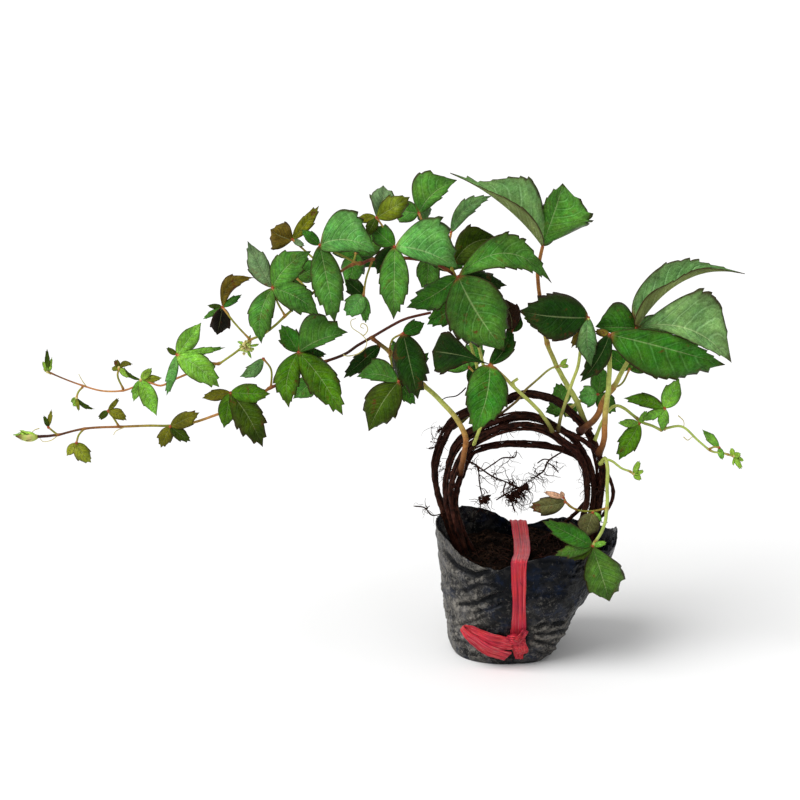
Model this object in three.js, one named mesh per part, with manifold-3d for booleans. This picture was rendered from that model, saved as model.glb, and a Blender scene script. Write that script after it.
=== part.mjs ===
// A climbing creeper in a nursery bag: black film bag, soil, red raffia tie, a woody vine wound into a hoop,
// and the leafy shoots that trail and stand from it. Millimetres, +Z up, +X to the right, -Y towards the viewer.
// The origin is on the flat underside of the bag, below the knot of the tie.
import * as THREE from 'three';
import { mergeVertices } from 'three/addons/utils/BufferGeometryUtils.js';
import Module from 'manifold-3d';

const wasm = await Module();
wasm.setup();

// Driving dimensions
const BAG_HEIGHT = 72; // mean height of the rim
const BAG_WALL = 1.2; // film with its creases and the soil that clings to it
const BAG_FLOOR = 2.4; // gathered film under the bag
const BASE_HALF = [33.5, 41]; // half width and half depth of the underside
const RIM_HALF = [54.5, 50]; // half width and half depth of the mouth
const BASE_CENTRE = -11.5; // the bag leans, so its underside lies left of its mouth
const RIM_CENTRE = -0.5;
const SOIL_TOP = 59;
const GAP = 0.3; // clearance between neighbouring pieces
const TIE_WIDTH = 8.6;
const TIE_THICK = 1.1;
const BLADE_THICK = 0.9; // leaf blades
const SIDES = 5; // sides of a stem

// The places of the plant's parts are kept as they are seen from the front, by an eye that stands
// EYE_DISTANCE away and looks down by EYE_FALL: millimetres across and up, and the true depth behind the bag's middle.
const EYE_FALL = (15 * Math.PI) / 180;
const EYE_DISTANCE = 1500;
const AIM = [-75.6, 147.6];
const SEEN_UP = new THREE.Vector3(0, Math.sin(EYE_FALL), Math.cos(EYE_FALL));
const SEEN_AWAY = new THREE.Vector3(0, Math.cos(EYE_FALL), -Math.sin(EYE_FALL));
const EYE = new THREE.Vector3(AIM[0], 0, 0)
  .addScaledVector(SEEN_UP, AIM[1])
  .addScaledVector(SEEN_AWAY, -EYE_DISTANCE);

function seen([across, up, depth]) {
  const ray = SEEN_AWAY.clone().multiplyScalar(EYE_DISTANCE);
  ray.x += across - AIM[0];
  ray.addScaledVector(SEEN_UP, up - AIM[1]);
  return EYE.clone().addScaledVector(ray, (depth - EYE.y) / ray.y);
}

// Solids

function solid(geometry) {
  const bare = geometry.clone();
  for (const name of Object.keys(bare.attributes)) {
    if (name !== 'position') bare.deleteAttribute(name);
  }
  const merged = mergeVertices(bare, 1e-4);
  const mesh = new wasm.Mesh({
    numProp: 3,
    vertProperties: new Float32Array(merged.attributes.position.array),
    triVerts: new Uint32Array(merged.index.array),
  });
  return new wasm.Manifold(mesh);
}

function joined(solids) {
  return solids.reduce((whole, next) => whole.add(next));
}

// Cuts the neighbours out of a solid and keeps its largest piece.
function clearOf(body, neighbours) {
  let rest = body;
  for (const neighbour of neighbours) rest = rest.subtract(neighbour);
  const pieces = rest.decompose();
  pieces.sort((one, other) => other.volume() - one.volume());
  return pieces[0];
}

function meshOf(name, body, look) {
  const { vertProperties, triVerts } = body.getMesh();
  const geometry = new THREE.BufferGeometry();
  geometry.setAttribute('position', new THREE.BufferAttribute(new Float32Array(vertProperties), 3));
  geometry.setIndex(new THREE.BufferAttribute(new Uint32Array(triVerts), 1));
  geometry.computeVertexNormals();
  const [color, roughness, metalness] = look;
  const mesh = new THREE.Mesh(geometry, new THREE.MeshStandardMaterial({ color, roughness, metalness }));
  mesh.name = name;
  return mesh;
}

// Moves every vertex of a geometry by a function of its place.
function shaped(geometry, place) {
  const positions = geometry.attributes.position;
  const vertex = new THREE.Vector3();
  for (let i = 0; i < positions.count; i += 1) {
    vertex.fromBufferAttribute(positions, i);
    const moved = place(vertex);
    positions.setXYZ(i, moved.x, moved.y, moved.z);
  }
  return geometry;
}

// A round stem along a smooth path, thinning from its root to its tip.
function stem(points, rootRadius, tipRadius = rootRadius, { sides = SIDES, step = 12, grow = 0 } = {}) {
  const path = new THREE.CatmullRomCurve3(points, false, 'centripetal');
  const steps = Math.max(2, Math.ceil(path.getLength() / step));
  const outline = Array.from({ length: sides }, (_, side) => {
    const angle = ((side + 0.5) / sides) * 2 * Math.PI;
    return new THREE.Vector2(Math.cos(angle), Math.sin(angle));
  });
  const geometry = new THREE.ExtrudeGeometry(new THREE.Shape(outline), {
    steps,
    extrudePath: path,
    bevelEnabled: false,
  });
  const centres = path.getSpacedPoints(steps);
  return solid(
    shaped(geometry, (vertex) => {
      const away = centres.map((centre) => centre.distanceTo(vertex));
      const nearest = away.indexOf(Math.min(...away));
      const radius = rootRadius + (tipRadius - rootRadius) * (nearest / steps) + grow;
      return vertex.sub(centres[nearest]).multiplyScalar(radius).add(centres[nearest]);
    }),
  );
}

function seenStem(points, rootRadius, tipRadius, options) {
  return stem(points.map(seen), rootRadius, tipRadius, options);
}

// A leaf is one thin plate: a joint with a corner between each two of its arms, and the arms are its stalk and its
// toothed leaflets. Every place of the plate has a front and a back, and both faces take the same triangles.
// blade: [across, up, depth] of the tip, width, arch, fold and roll in degrees, bow, lean.
// arch lifts the middle towards the eye, bow bends the midrib to the left of its way, lean widens the left half.
const BELLY = 0.44; // where along the leaflet it is widest
const JOINT_RADIUS = 1.5; // the swollen joint where a leaf's stalk and leaflets meet
const JOINT_HALF = 1;
const TEETH = [
  [11, 0],
  [24, 1],
  [40, 2],
  [56, 3],
  [Infinity, 4],
]; // teeth on each side, by the leaflet's length
const degrees = THREE.MathUtils.degToRad;

class Plate {
  places = [];
  faces = [];
  outline = [];

  put(place, normal, half) {
    const offset = normal.clone().multiplyScalar(half);
    this.places.push(place.clone().add(offset), place.clone().sub(offset));
    return this.places.length / 2 - 1;
  }

  face(...corners) {
    for (let i = 2; i < corners.length; i += 1) this.faces.push([corners[0], corners[i - 1], corners[i]]);
  }

  solid() {
    const indices = [];
    for (const [a, b, c] of this.faces) indices.push(2 * a, 2 * b, 2 * c, 2 * a + 1, 2 * c + 1, 2 * b + 1);
    this.outline.forEach((from, i) => {
      const to = this.outline[(i + 1) % this.outline.length];
      indices.push(2 * to, 2 * from, 2 * from + 1, 2 * to, 2 * from + 1, 2 * to + 1);
    });
    const geometry = new THREE.BufferGeometry();
    geometry.setAttribute('position', new THREE.Float32BufferAttribute(this.places.flatMap((at) => at.toArray()), 3));
    geometry.setIndex(indices);
    return solid(geometry);
  }
}

// The unit vector nearest to a wanted way that is square to the given one.
function squareTo(along, wanted) {
  return wanted.clone().addScaledVector(along, -wanted.dot(along)).normalize();
}

function addLeaflet(plate, joint, blade, [rightCorner, leftCorner]) {
  const [, , , width, arch = 0, fold = 14, roll = 0, bow = 0, lean = 0] = blade;
  const along = seen(blade.slice(0, 3)).sub(joint);
  const length = along.length();
  along.normalize();
  const normal = squareTo(along, EYE.clone().sub(joint)).applyAxisAngle(along, degrees(roll));
  const left = normal.clone().cross(along);
  const bend = (share) => 4 * share * (1 - share);
  const halfWidth = (share) => 0.5 * width * Math.sin(Math.PI * share ** (Math.log(0.5) / Math.log(BELLY))) ** 0.8;
  const put = (share, side, half) => {
    const out = side * half * (1 + side * lean);
    const place = joint
      .clone()
      .addScaledVector(along, share * length)
      .addScaledVector(normal, arch * bend(share) + Math.sin(degrees(fold)) * Math.abs(out))
      .addScaledVector(left, bow * bend(share) + Math.cos(degrees(fold)) * out);
    return plate.put(place, normal, BLADE_THICK / 2);
  };

  // A row of the midrib for each tooth, with a notch and a tooth's point on both sides
  const rows = TEETH.find(([limit]) => length <= limit)[1] + 1;
  const tooth = Math.min(1.6, width * 0.07);
  const midrib = [leftCorner];
  for (let row = 1; row <= rows; row += 1) midrib.push(put(row / rows, 0, 0));
  const edges = [-1, 1].map((side) => {
    const edge = [];
    for (let row = 0; row < rows; row += 1) {
      const notch = row / rows;
      const peak = (row + (rows > 1 ? 0.8 : 0.45)) / rows;
      if (row > 0) edge.push(put(notch, side, halfWidth(notch) - 0.3 * tooth));
      edge.push(put(peak, side, halfWidth(peak - 0.1 / rows) + (row > 0 ? tooth : 0)));
    }
    return edge;
  });
  plate.outline.push(rightCorner, ...edges[0], midrib[rows], ...edges[1].toReversed());
  plate.face(leftCorner, rightCorner, midrib[1]);
  edges.forEach((edge, side) => {
    const add = (...corners) => plate.face(...(side === 0 ? corners : corners.reverse()));
    for (let row = 0; row < rows; row += 1) {
      const root = row > 0 ? midrib[row] : [rightCorner, leftCorner][side];
      if (row > 0) add(root, edge[2 * row - 1], edge[2 * row]);
      add(root, edge[2 * row], midrib[row + 1]);
      if (row < rows - 1) add(midrib[row + 1], edge[2 * row], edge[2 * row + 1]);
    }
  });
}

function addStalk(plate, joint, stalk, radius, [rightCorner, leftCorner]) {
  const run = [joint, ...stalk.slice(0, -1).toReversed().map(seen)];
  const sides = [[], []];
  for (let i = 1; i < run.length; i += 1) {
    const along = run[i].clone().sub(run[i - 1]).normalize();
    const normal = squareTo(along, EYE.clone().sub(joint));
    const left = normal.clone().cross(along);
    sides[0].push(plate.put(run[i].clone().addScaledVector(left, -radius), normal, radius));
    sides[1].push(plate.put(run[i].clone().addScaledVector(left, radius), normal, radius));
  }
  const [right, left] = [[rightCorner, ...sides[0]], [leftCorner, ...sides[1]]];
  for (let i = 1; i < right.length; i += 1) plate.face(right[i - 1], right[i], left[i], left[i - 1]);
  plate.outline.push(...right, ...sides[1].toReversed());
}

function leaf([stalk, blades], stalkRadius = 0.8) {
  const plate = new Plate();
  const joint = seen(stalk.at(-1));
  const toEye = EYE.clone().sub(joint).normalize();
  const right = squareTo(toEye, new THREE.Vector3(1, 0, 0));
  const up = toEye.clone().cross(right);
  const turnOf = (place) => {
    const way = seen(place).sub(joint);
    return Math.atan2(way.dot(up), way.dot(right));
  };
  const arms = blades.map((blade) => ({ turn: turnOf(blade.slice(0, 3)), blade }));
  arms.push({ turn: turnOf(stalk.at(-2)) });
  arms.sort((one, other) => one.turn - other.turn);
  const corners = arms.map(({ turn }, i) => {
    const next = i + 1 < arms.length ? arms[i + 1].turn : arms[0].turn + 2 * Math.PI;
    const middle = (turn + next) / 2;
    const place = joint.clone().addScaledVector(right, JOINT_RADIUS * Math.cos(middle));
    return plate.put(place.addScaledVector(up, JOINT_RADIUS * Math.sin(middle)), toEye, JOINT_HALF);
  });
  arms.forEach(({ blade }, i) => {
    const between = [corners.at(i - 1), corners[i]];
    if (blade) addLeaflet(plate, joint, blade, between);
    else addStalk(plate, joint, stalk, stalkRadius, between);
  });
  if (corners.length > 2) plate.face(...corners);
  return plate.solid();
}

function shoot({ stems, leaves }, neighbours) {
  const parts = stems.map(([rootRadius, tipRadius, points]) => seenStem(points, rootRadius, tipRadius));
  for (const one of leaves) parts.push(leaf(one));
  return clearOf(joined(parts), neighbours);
}

// The bag, the soil and the tie

// The rim's rise above BAG_HEIGHT at equal steps round the mouth, from the right, by way of the back.
const RIM_RISE = [2, -4, -5, -6, -9, -1, 5, 5, 7, 4, -3, -8, -2, 2, -1, -3];
const rimRise = new THREE.CatmullRomCurve3(
  RIM_RISE.map((rise, i) => new THREE.Vector3((i / RIM_RISE.length) * 360, rise, 0)).concat(
    new THREE.Vector3(360, RIM_RISE[0], 0),
  ),
);
const TIE_SIDE = -4.4; // how far left of the middle the tie runs
const UNDER_SIDE = -5.2; // the same under the bag, where the band is drawn narrower
const UNDER_WIDTH = 7;
const PINCH = 3.2; // how deep the tie draws the film in
const CREASE = 0.8;

function rimHeight(turn) {
  const around = ((turn / (2 * Math.PI)) % 1 + 1) % 1;
  return BAG_HEIGHT + rimRise.getPoint(around).y;
}

// A place on the bag's wall: the turn about its axis, the share of the height and the inset from the outside.
function onBag(turn, share, inset = 0) {
  const open = share ** 0.75;
  const centre = BASE_CENTRE + (RIM_CENTRE - BASE_CENTRE) * open;
  const halfWidth = BASE_HALF[0] + (RIM_HALF[0] - BASE_HALF[0]) * open;
  const halfDepth = BASE_HALF[1] + (RIM_HALF[1] - BASE_HALF[1]) * open;
  const crease = CREASE * Math.sin(7 * turn + 5 * share) * Math.sin(3 * turn - 4 * share) * Math.min(1, 4 * share);
  const x = Math.cos(turn);
  const y = Math.sin(turn);
  const towardsTie = Math.exp(-(((centre + halfWidth * x - TIE_SIDE) / 7) ** 2));
  const pinch = Math.sign(y) * PINCH * towardsTie * Math.min(1, 2 * share + 0.3);
  return new THREE.Vector3(
    centre + (halfWidth + crease - inset) * x,
    (halfDepth + crease - inset) * y - pinch,
    share * rimHeight(turn),
  );
}

const TURNS = 32;
const ROWS = 5;

function bagShell() {
  const profile = [new THREE.Vector2(0, 0)];
  for (let row = 0; row <= ROWS; row += 1) profile.push(new THREE.Vector2(2, row / ROWS));
  for (let row = ROWS; row > 0; row -= 1) profile.push(new THREE.Vector2(1, row / ROWS));
  profile.push(new THREE.Vector2(1, 0), new THREE.Vector2(0, 0.01));
  const lathe = new THREE.LatheGeometry(profile, TURNS);
  return solid(
    shaped(lathe, (vertex) => {
      const layer = Math.round(Math.hypot(vertex.x, vertex.z));
      const turn = Math.atan2(vertex.x, vertex.z);
      const share = vertex.y;
      if (layer === 0) return new THREE.Vector3(BASE_CENTRE, 0, share > 0 ? BAG_FLOOR : 0);
      const place = onBag(turn, share, layer === 1 ? BAG_WALL : 0);
      if (layer === 1 && share === 0) place.z = BAG_FLOOR;
      return place;
    }),
  );
}

function soilBody() {
  const inset = BAG_WALL + GAP + 0.7;
  const profile = [new THREE.Vector2(0, 0)];
  for (let row = 0; row < ROWS - 1; row += 1) profile.push(new THREE.Vector2(1, row / ROWS));
  profile.push(new THREE.Vector2(1, 1), new THREE.Vector2(0.7, 1), new THREE.Vector2(0.35, 1), new THREE.Vector2(0, 1));
  const lathe = new THREE.LatheGeometry(profile, TURNS);
  return solid(
    shaped(lathe, (vertex) => {
      const radius = Math.hypot(vertex.x, vertex.z);
      const turn = Math.atan2(vertex.x, vertex.z);
      const top = vertex.y === 1;
      const wall = onBag(turn, top ? SOIL_TOP / rimHeight(turn) : vertex.y, inset);
      const centre = new THREE.Vector3(top ? RIM_CENTRE : BASE_CENTRE, 0, wall.z);
      const place = centre.lerp(wall, Math.min(1, radius));
      const lumps = 1.6 * Math.sin(0.21 * place.x + 1) * Math.cos(0.17 * place.y) + 0.6 * Math.sin(0.5 * place.x);
      if (top) place.z += 2.5 * (1 - radius ** 2) + lumps * (1.4 - radius);
      if (vertex.y === 0) place.z = BAG_FLOOR + GAP;
      return place;
    }),
  );
}

// A flat strip along a list of places, each with the way its width lies; grow thickens it all round.
function strip(places, widths, ways, thick, grow = 0) {
  const path = new THREE.CatmullRomCurve3(places, false, 'centripetal');
  const steps = places.length - 1;
  const box = new THREE.BoxGeometry(1, 1, 1, steps, 1, 1);
  const at = (list, share) => {
    const spot = share * (list.length - 1);
    const low = Math.min(list.length - 2, Math.floor(spot));
    return [list[low], list[low + 1], spot - low];
  };
  return solid(
    shaped(box, (vertex) => {
      const share = vertex.x + 0.5;
      const centre = path.getPoint(share);
      const tangent = path.getTangent(share);
      const [wide, wider, between] = at(widths, share);
      const [way, nextWay, turn] = at(ways, share);
      const across = way.clone().lerp(nextWay, turn);
      across.addScaledVector(tangent, -across.dot(tangent)).normalize();
      const outward = tangent.clone().cross(across);
      const width = wide + (wider - wide) * between + 2 * grow;
      const end = share === 0 ? -grow : share === 1 ? grow : 0;
      return centre
        .addScaledVector(across, vertex.y * width)
        .addScaledVector(outward, vertex.z * (thick + 2 * grow))
        .addScaledVector(tangent, end);
    }),
  );
}

// The band's run: from the knot up the front, over the mouth, down the back, under the base and to the knot.
function tieBody(grow) {
  const out = TIE_THICK / 2 + GAP;
  const side = new THREE.Vector3(1, 0, 0);
  const wall = (share, front) => {
    const sign = front ? -1 : 1;
    let turn = (sign * Math.PI) / 2;
    for (let i = 0; i < 8; i += 1) turn += (sign * (onBag(turn, share).x - TIE_SIDE)) / 50;
    const place = onBag(turn, share, -out);
    place.x = TIE_SIDE;
    return place;
  };
  const frontRim = wall(1, true);
  const backRim = wall(1, false);
  const over = TIE_THICK / 2 + 2 * GAP;
  const knot = wall(0.2, true);
  const underEnd = BASE_HALF[1] - PINCH - 3;
  const places = [
    knot.clone(),
    wall(0.4, true),
    wall(0.6, true),
    wall(0.8, true),
    wall(0.97, true),
    frontRim.clone().add(new THREE.Vector3(0, 1.6, over + 0.4)),
    new THREE.Vector3(TIE_SIDE, frontRim.y + 22, frontRim.z - 4),
    new THREE.Vector3(TIE_SIDE, 0, (frontRim.z + backRim.z) / 2 - 3.5),
    new THREE.Vector3(TIE_SIDE, backRim.y - 22, backRim.z - 1.5),
    backRim.clone().add(new THREE.Vector3(0, -1.6, over + 0.4)),
    wall(0.95, false),
    wall(0.6, false),
    wall(0.3, false),
    wall(0.06, false),
    ...[underEnd, 20, -20, -underEnd].map((y) => new THREE.Vector3(UNDER_SIDE, y, TIE_THICK / 2)),
    wall(0.06, true),
    knot.clone(),
  ];
  const widths = places.map(({ x }, i) => (x === UNDER_SIDE ? UNDER_WIDTH : TIE_WIDTH - (i < 2 ? 0 : 0.5)));
  return strip(places, widths, places.map(() => side), TIE_THICK, grow);
}

function tieKnot() {
  const onFront = (across, up, proud) => {
    const guess = seen([across, up, -BASE_HALF[1]]);
    const share = Math.max(0.03, guess.z / BAG_HEIGHT);
    let turn = -Math.PI / 2;
    for (let i = 0; i < 12; i += 1) turn -= (onBag(turn, share).x - guess.x) / 60;
    return onBag(turn, share, -proud);
  };
  const lump = shaped(new THREE.SphereGeometry(1, 8, 6), (vertex) =>
    onFront(-5.6, 4.5, 3.4).add(new THREE.Vector3(5.2 * vertex.x, 2.4 * vertex.y, 4.6 * vertex.z)),
  );
  const loop = [
    [-6, 3, 2.4],
    [-18.3, 10, 3],
    [-31.7, 12, 2.6],
    [-36.5, 10.2, 3.4],
    [-31, 3.5, 4.6],
    [-21, -4, 4.4],
    [-12, -7, 3.6],
  ];
  const tail = [
    [-5.6, 4.5, 3],
    [-4, -1, 2.4],
    [-2.2, -6, 1.6],
  ];
  const upward = new THREE.Vector3(-0.35, 0, 1);
  const run = (points, way, width) =>
    strip(points.map((point) => onFront(...point)), [width, width], [way, way], TIE_THICK);
  return joined([
    solid(lump),
    run(loop.slice(0, 4), new THREE.Vector3(0.4, 0, 1), 6.4),
    run(loop.slice(3), upward, 6.4),
    run(tail, new THREE.Vector3(1, 0, 0.2), 4.6),
  ]);
}

// The woody hoop: strands of the old vine wound round one another, [thickness, run].

const STRANDS = [
  [4.6, [[-40, 52, 6], [-45, 68, 7], [-50, 82, 8], [-53.8, 95, 8], [-54.6, 103.3, 8], [-53.4, 112, 8], [-49.2, 124, 8],
    [-43, 134, 6], [-34, 140, 4], [-20, 143, 5], [-12.8, 146, 7], [-6.7, 149, 9], [1.7, 150.5, 10], [10, 149.3, 11],
    [17.5, 147, 11], [25, 141.5, 11], [32, 135, 10], [38, 128, 9], [42, 119, 8], [45, 108, 7], [45.4, 98, 4],
    [44.2, 88, 1.5], [42.4, 76, 1], [39, 54, 1]]],
  [4.4, [[-38, 52, 0], [-43, 68, 1], [-47.5, 86, 2], [-48, 99, 2], [-46.2, 110, 2], [-42.5, 119, 2], [-36, 126, 1],
    [-27, 131, -1], [-18, 134.5, -2], [-8, 137.8, -2], [3, 138, -2], [12, 135, -2], [20, 130.5, -1], [28, 124.5, 1],
    [34, 117, 2], [38.5, 107, 2], [40.5, 97, 2], [40.5, 86, 1], [38, 72, 0], [35, 54, 0]]],
  [4.2, [[-34, 52, -7], [-39, 66, -7], [-43.5, 80, -6], [-45, 92, -6], [-43.5, 103, -6], [-40, 112, -5], [-34.5, 120, -4],
    [-26, 126, -4], [-16, 130.5, -5], [-5, 132.8, -6], [6, 132, -6], [15, 128.5, -6], [23, 122.5, -5], [30, 117.5, -4],
    [34.5, 109, -4], [36.3, 98, -4], [36.6, 88, -4], [34, 76, -5], [31, 56, -5]]],
  [3.4, [[-30, 54, -3], [-38, 70, -5], [-42, 84, -4.5], [-41, 95, -3], [-38, 103, -2], [-35, 110, -1], [-31, 116, 0],
    [-20, 119.6, 2], [-7.5, 120.9, 3], [5, 120.7, 3], [17.5, 119.6, 3], [26, 117, 2], [32, 114, 1], [37, 108, 0.5],
    [40, 100, 0.5]]],
  [3.6, [[10, 132, -4], [18, 130.5, -3], [28.3, 126.5, -2], [37, 121.5, -2], [43.5, 115, -1], [45.8, 106, 0],
    [44.6, 94, 1], [42.8, 82, 0], [40, 66, -2], [37, 54, -3]]],
  [2.6, [[43.5, 113, 7], [49, 103, 6], [52.4, 92, 5], [50, 84, 4], [45, 77, 2.5]]],
  [2.8, [[37, 88, -2], [30, 80, 2], [23, 74, 8], [16, 68, 14], [12, 60, 16]]],
];

// Aerial roots: [thickness, run], and the crumbs of soil that hang in them: [place, size].
const ROOTS = [
  [1.8, [[-41, 110.5, -5], [-33.3, 110.3, -7], [-27.5, 106.7, -8], [-20, 101.7, -9], [-11.7, 98.3, -8], [-3, 94, -6]]],
  [1.4, [[-30, 108.5, -7], [-27.5, 105, -8], [-20, 109, -9], [-14, 112.8, -10], [-6.7, 113.4, -10], [-5.6, 117.4, -10]]],
  [1.4, [[-28.5, 107.5, -7], [-27.9, 98, -7], [-26.5, 91, -6], [-25.5, 86, -6]]],
  [1.4, [[-12, 98.5, -8], [-13.5, 92, -10], [-9, 87, -10], [-6.7, 80.5, -9]]],
  [1.4, [[-6, 95, -7], [-14, 90, -4], [-18, 87.5, -2]]],
  [1.6, [[23, 122, -4], [22, 117, -6], [18.3, 114.5, -7], [13.3, 110.8, -8], [10.5, 105, -8], [4.5, 100.8, -8]]],
  [1.3, [[14.5, 111.6, -7.6], [10.5, 112, -9], [6.7, 109.6, -10]]],
  [1.3, [[13, 110, -8], [16.7, 107.5, -9], [19.6, 104, -10]]],
  [1.3, [[-45, 131, 6], [-48, 131.5, 2], [-54, 128.5, -1]]],
  [1.3, [[-48, 123.5, 7], [-53.5, 119.8, 3], [-58.5, 118.6, 1]]],
  [1.4, [[-48, 80, 6], [-56.3, 78.5, 2], [-61, 83, 0], [-67.5, 84, -1]]],
];
const CRUMBS = [
  [[-1.2, 94, -6], [4.6, 4.6, 5.4]],
  [[-7, 90, -8], [5, 4, 3.6]],
  [[-25.5, 87.8, -6], [5, 3.6, 3.2]],
];

function crumb([centre, size]) {
  const rough = shaped(new THREE.IcosahedronGeometry(1, 1), (vertex) => {
    const bump = 1 + 0.22 * Math.sin(5 * vertex.x + 3 * vertex.z) * Math.cos(4 * vertex.y);
    return new THREE.Vector3(size[0] * vertex.x, size[1] * vertex.y, size[2] * vertex.z)
      .multiplyScalar(bump)
      .add(seen(centre));
  });
  return solid(rough);
}

function hoopBody(grow) {
  const strands = STRANDS.map(([thick, run]) => seenStem(run, thick / 2, thick / 2 - 0.2, { step: 11, grow }));
  if (grow > 0) return joined(strands);
  const roots = ROOTS.map(([thick, run]) => seenStem(run, thick / 2, 0.6, { sides: 4, step: 7 }));
  return joined([...strands, ...roots, ...CRUMBS.map(crumb)]);
}

// The leafy shoots. A stem is [root radius, tip radius, run]; a leaf is [stalk up to its hub, leaflets], and each
// leaflet is [across, up, depth of the tip, width, arch, fold, roll, bow, lean].

const UPPER_VINE = {
  stems: [
    [1.7, 1.5, [[-32, 119, -2], [-30.5, 123, -8], [-27, 132, -11], [-22.5, 140, -8], [-24, 160, 4], [-30, 185, 6],
      [-38, 205, 0], [-42, 221, -8], [-54, 229, -14], [-71, 232.6, -17], [-92, 232, -18], [-99.6, 229, -18]]],
    [1.5, 1.1, [[-98, 230, -18], [-104.5, 228.7, -18], [-115, 222, -20], [-130, 210, -21], [-144.5, 198, -22],
      [-151, 192, -22], [-158, 186.8, -22], [-165.4, 183.7, -22], [-172.4, 177.6, -21], [-184.3, 169, -20]]],
    [1.2, 0.8, [[-183, 170, -20], [-194, 166.7, -18], [-210, 160.4, -14], [-219, 156.2, -12], [-227, 158, -10],
      [-241.6, 153.3, -7], [-253.6, 153, -6], [-265.9, 156.2, -5], [-283.5, 163, -4], [-287.4, 165, -4]]],
  ],
  leaves: [
    [[[-282, 162.4, -4], [-286, 164.6, -4]], [[-287.6, 178, -5, 4, 0, 20], [-291, 169, -6, 4], [-282, 172, -3, 3]]],
    [[[-265.9, 156.2, -5], [-268.5, 152, -7], [-269.8, 148.4, -9]],
      [[-258.5, 142, -8, 3.5], [-273.5, 145, -9, 3], [-268.4, 140.8, -12, 3.5]]],
    [[[-241.6, 153.3, -7], [-244, 159, -8], [-244.4, 166.7, -9]],
      [[-248.5, 171.5, -9, 3], [-235.8, 169.2, -10, 3.4], [-249.5, 164, -9, 3], [-238, 160, -10, 3.4]]],
    [[[-232, 157, -9], [-231.5, 159, -10], [-231, 160.4, -10]],
      [[-236, 147, -11, 6], [-221.1, 138.2, -14, 9.5, 1], [-223, 166.5, -10, 5], [-217.5, 161.8, -9, 4]]],
    [[[-184.3, 169, -20], [-195, 171.2, -22], [-209.5, 174.8, -24]],
      [[-194.6, 194, -19, 12, 1], [-179.8, 179, -16, 4.5, 3, 20], [-184.3, 154.9, -29, 16, 2, 12, 0, 2],
        [-215.5, 149.8, -26, 6.5], [-216, 178.8, -22, 3.5]]],
    [[[-165.4, 183.7, -22], [-174.4, 193.3, -22], [-182, 203.3, -22]],
      [[-191.5, 204.3, -20, 3.4], [-194.2, 196, -20, 3.6], [-163, 221, -18, 10, 0, 30, 20, 7], [-170.5, 211, -21, 4.5],
        [-185.2, 186, -14, 13, 0, 18, -15]]],
    [[[-144.5, 198, -22], [-149, 206, -25], [-152, 215, -27]],
      [[-158.2, 181, -30, 15, 2, 14, 0, -4], [-124, 199, -30, 17, 3, 14, 0, 2], [-129, 237, -27, 18, 3, 14, 0, 3],
        [-166.5, 243.5, -20, 13, 0, 26, 15, 1]]],
    [[[-115, 222, -20], [-128, 233, -12], [-140, 243.8, -10]],
      [[-123.8, 263.9, -8, 8, 1], [-155, 237.5, -8, 13, 0, 24, 0, -3], [-133, 240, -14, 4]]],
    [[[-100, 229, -18], [-112, 235, -24], [-123.8, 240.6, -29]],
      [[-134.6, 250, -27, 7], [-89.7, 235.7, -34, 22, 3, 14, 0, 7], [-114, 193.7, -35, 19, 3]]],
    [[[-78.4, 233, -17], [-83.4, 247.7, -20], [-89.7, 257, -22]],
      [[-84, 276, -16, 10, 1, 20, 25, -2], [-68.2, 268.2, -20, 14, 2], [-102.4, 256.2, -18, 6], [-95.5, 246, -24, 7]]],
    [[[-74, 232.7, -17], [-77, 236, -22], [-78.8, 239.6, -27]],
      [[-41, 226, -33, 26, 4, 14, 0, 3], [-79.5, 195.6, -34, 18, 3], [-93, 252, -16, 13, 1], [-90, 223, -24, 13]]],
    [[[-54, 229, -14], [-58, 244, -5], [-64.3, 259.7, -2]],
      [[-41.4, 276.6, -2, 17, 2, 14, 0, 3], [-56, 262, 14, 12, 0, 14, 20], [-82, 262, 10, 14, 0, 14, 0]]],
    [[[-92, 232, -18], [-96, 220, -15], [-97.4, 210.4, -14]],
      [[-108.7, 220, -9, 10], [-108, 198, -15, 13, 1], [-96, 193.5, -13, 7]]],
    [[[-41, 217, -6], [-41, 219, -12], [-40.8, 221.7, -18]],
      [[-12.3, 177, -29, 38, 4, 14, 0, 4], [-72, 203, -17, 18, 0, 26, 15, 2], [13.8, 224.5, -15, 17, 3, 18, 0, 12],
        [-11, 216, -9, 13, 0, 20]]],
    [[[-42, 221, -9], [-45, 226, -4], [-43, 230, -1]], [[0.8, 242, 3, 17, 2, 20, 0, 9]]],
    [[[-41.2, 219.5, -13], [-46.5, 234, -11], [-45, 248, -9]], [[-20, 270, -6, 10, 1, 22, 15, 5]]],
    [[[-104.5, 228.7, -18], [-103, 232, -6], [-102, 236, 5]],
      [[-84, 247, 10, 15, -3], [-118, 245, 12, 15, -3], [-107, 212, 12, 14, -4], [-87, 226, 20, 11, -3]]],
    [[[-48, 225.5, -11], [-54, 229, 2], [-58, 234, 12]],
      [[-34, 229, 22, 15, -3], [-60, 211, 20, 15, -4], [-74, 246, 18, 16, -3], [-50, 251, 26, 12, -3]]],
    [[[-130, 210, -21], [-133, 216, -9], [-138, 221, 0]],
      [[-122, 230, 6, 14, -2], [-152, 230, 6, 14, -2], [-142, 202, 2, 13, -2]]],
  ],
};

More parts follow.
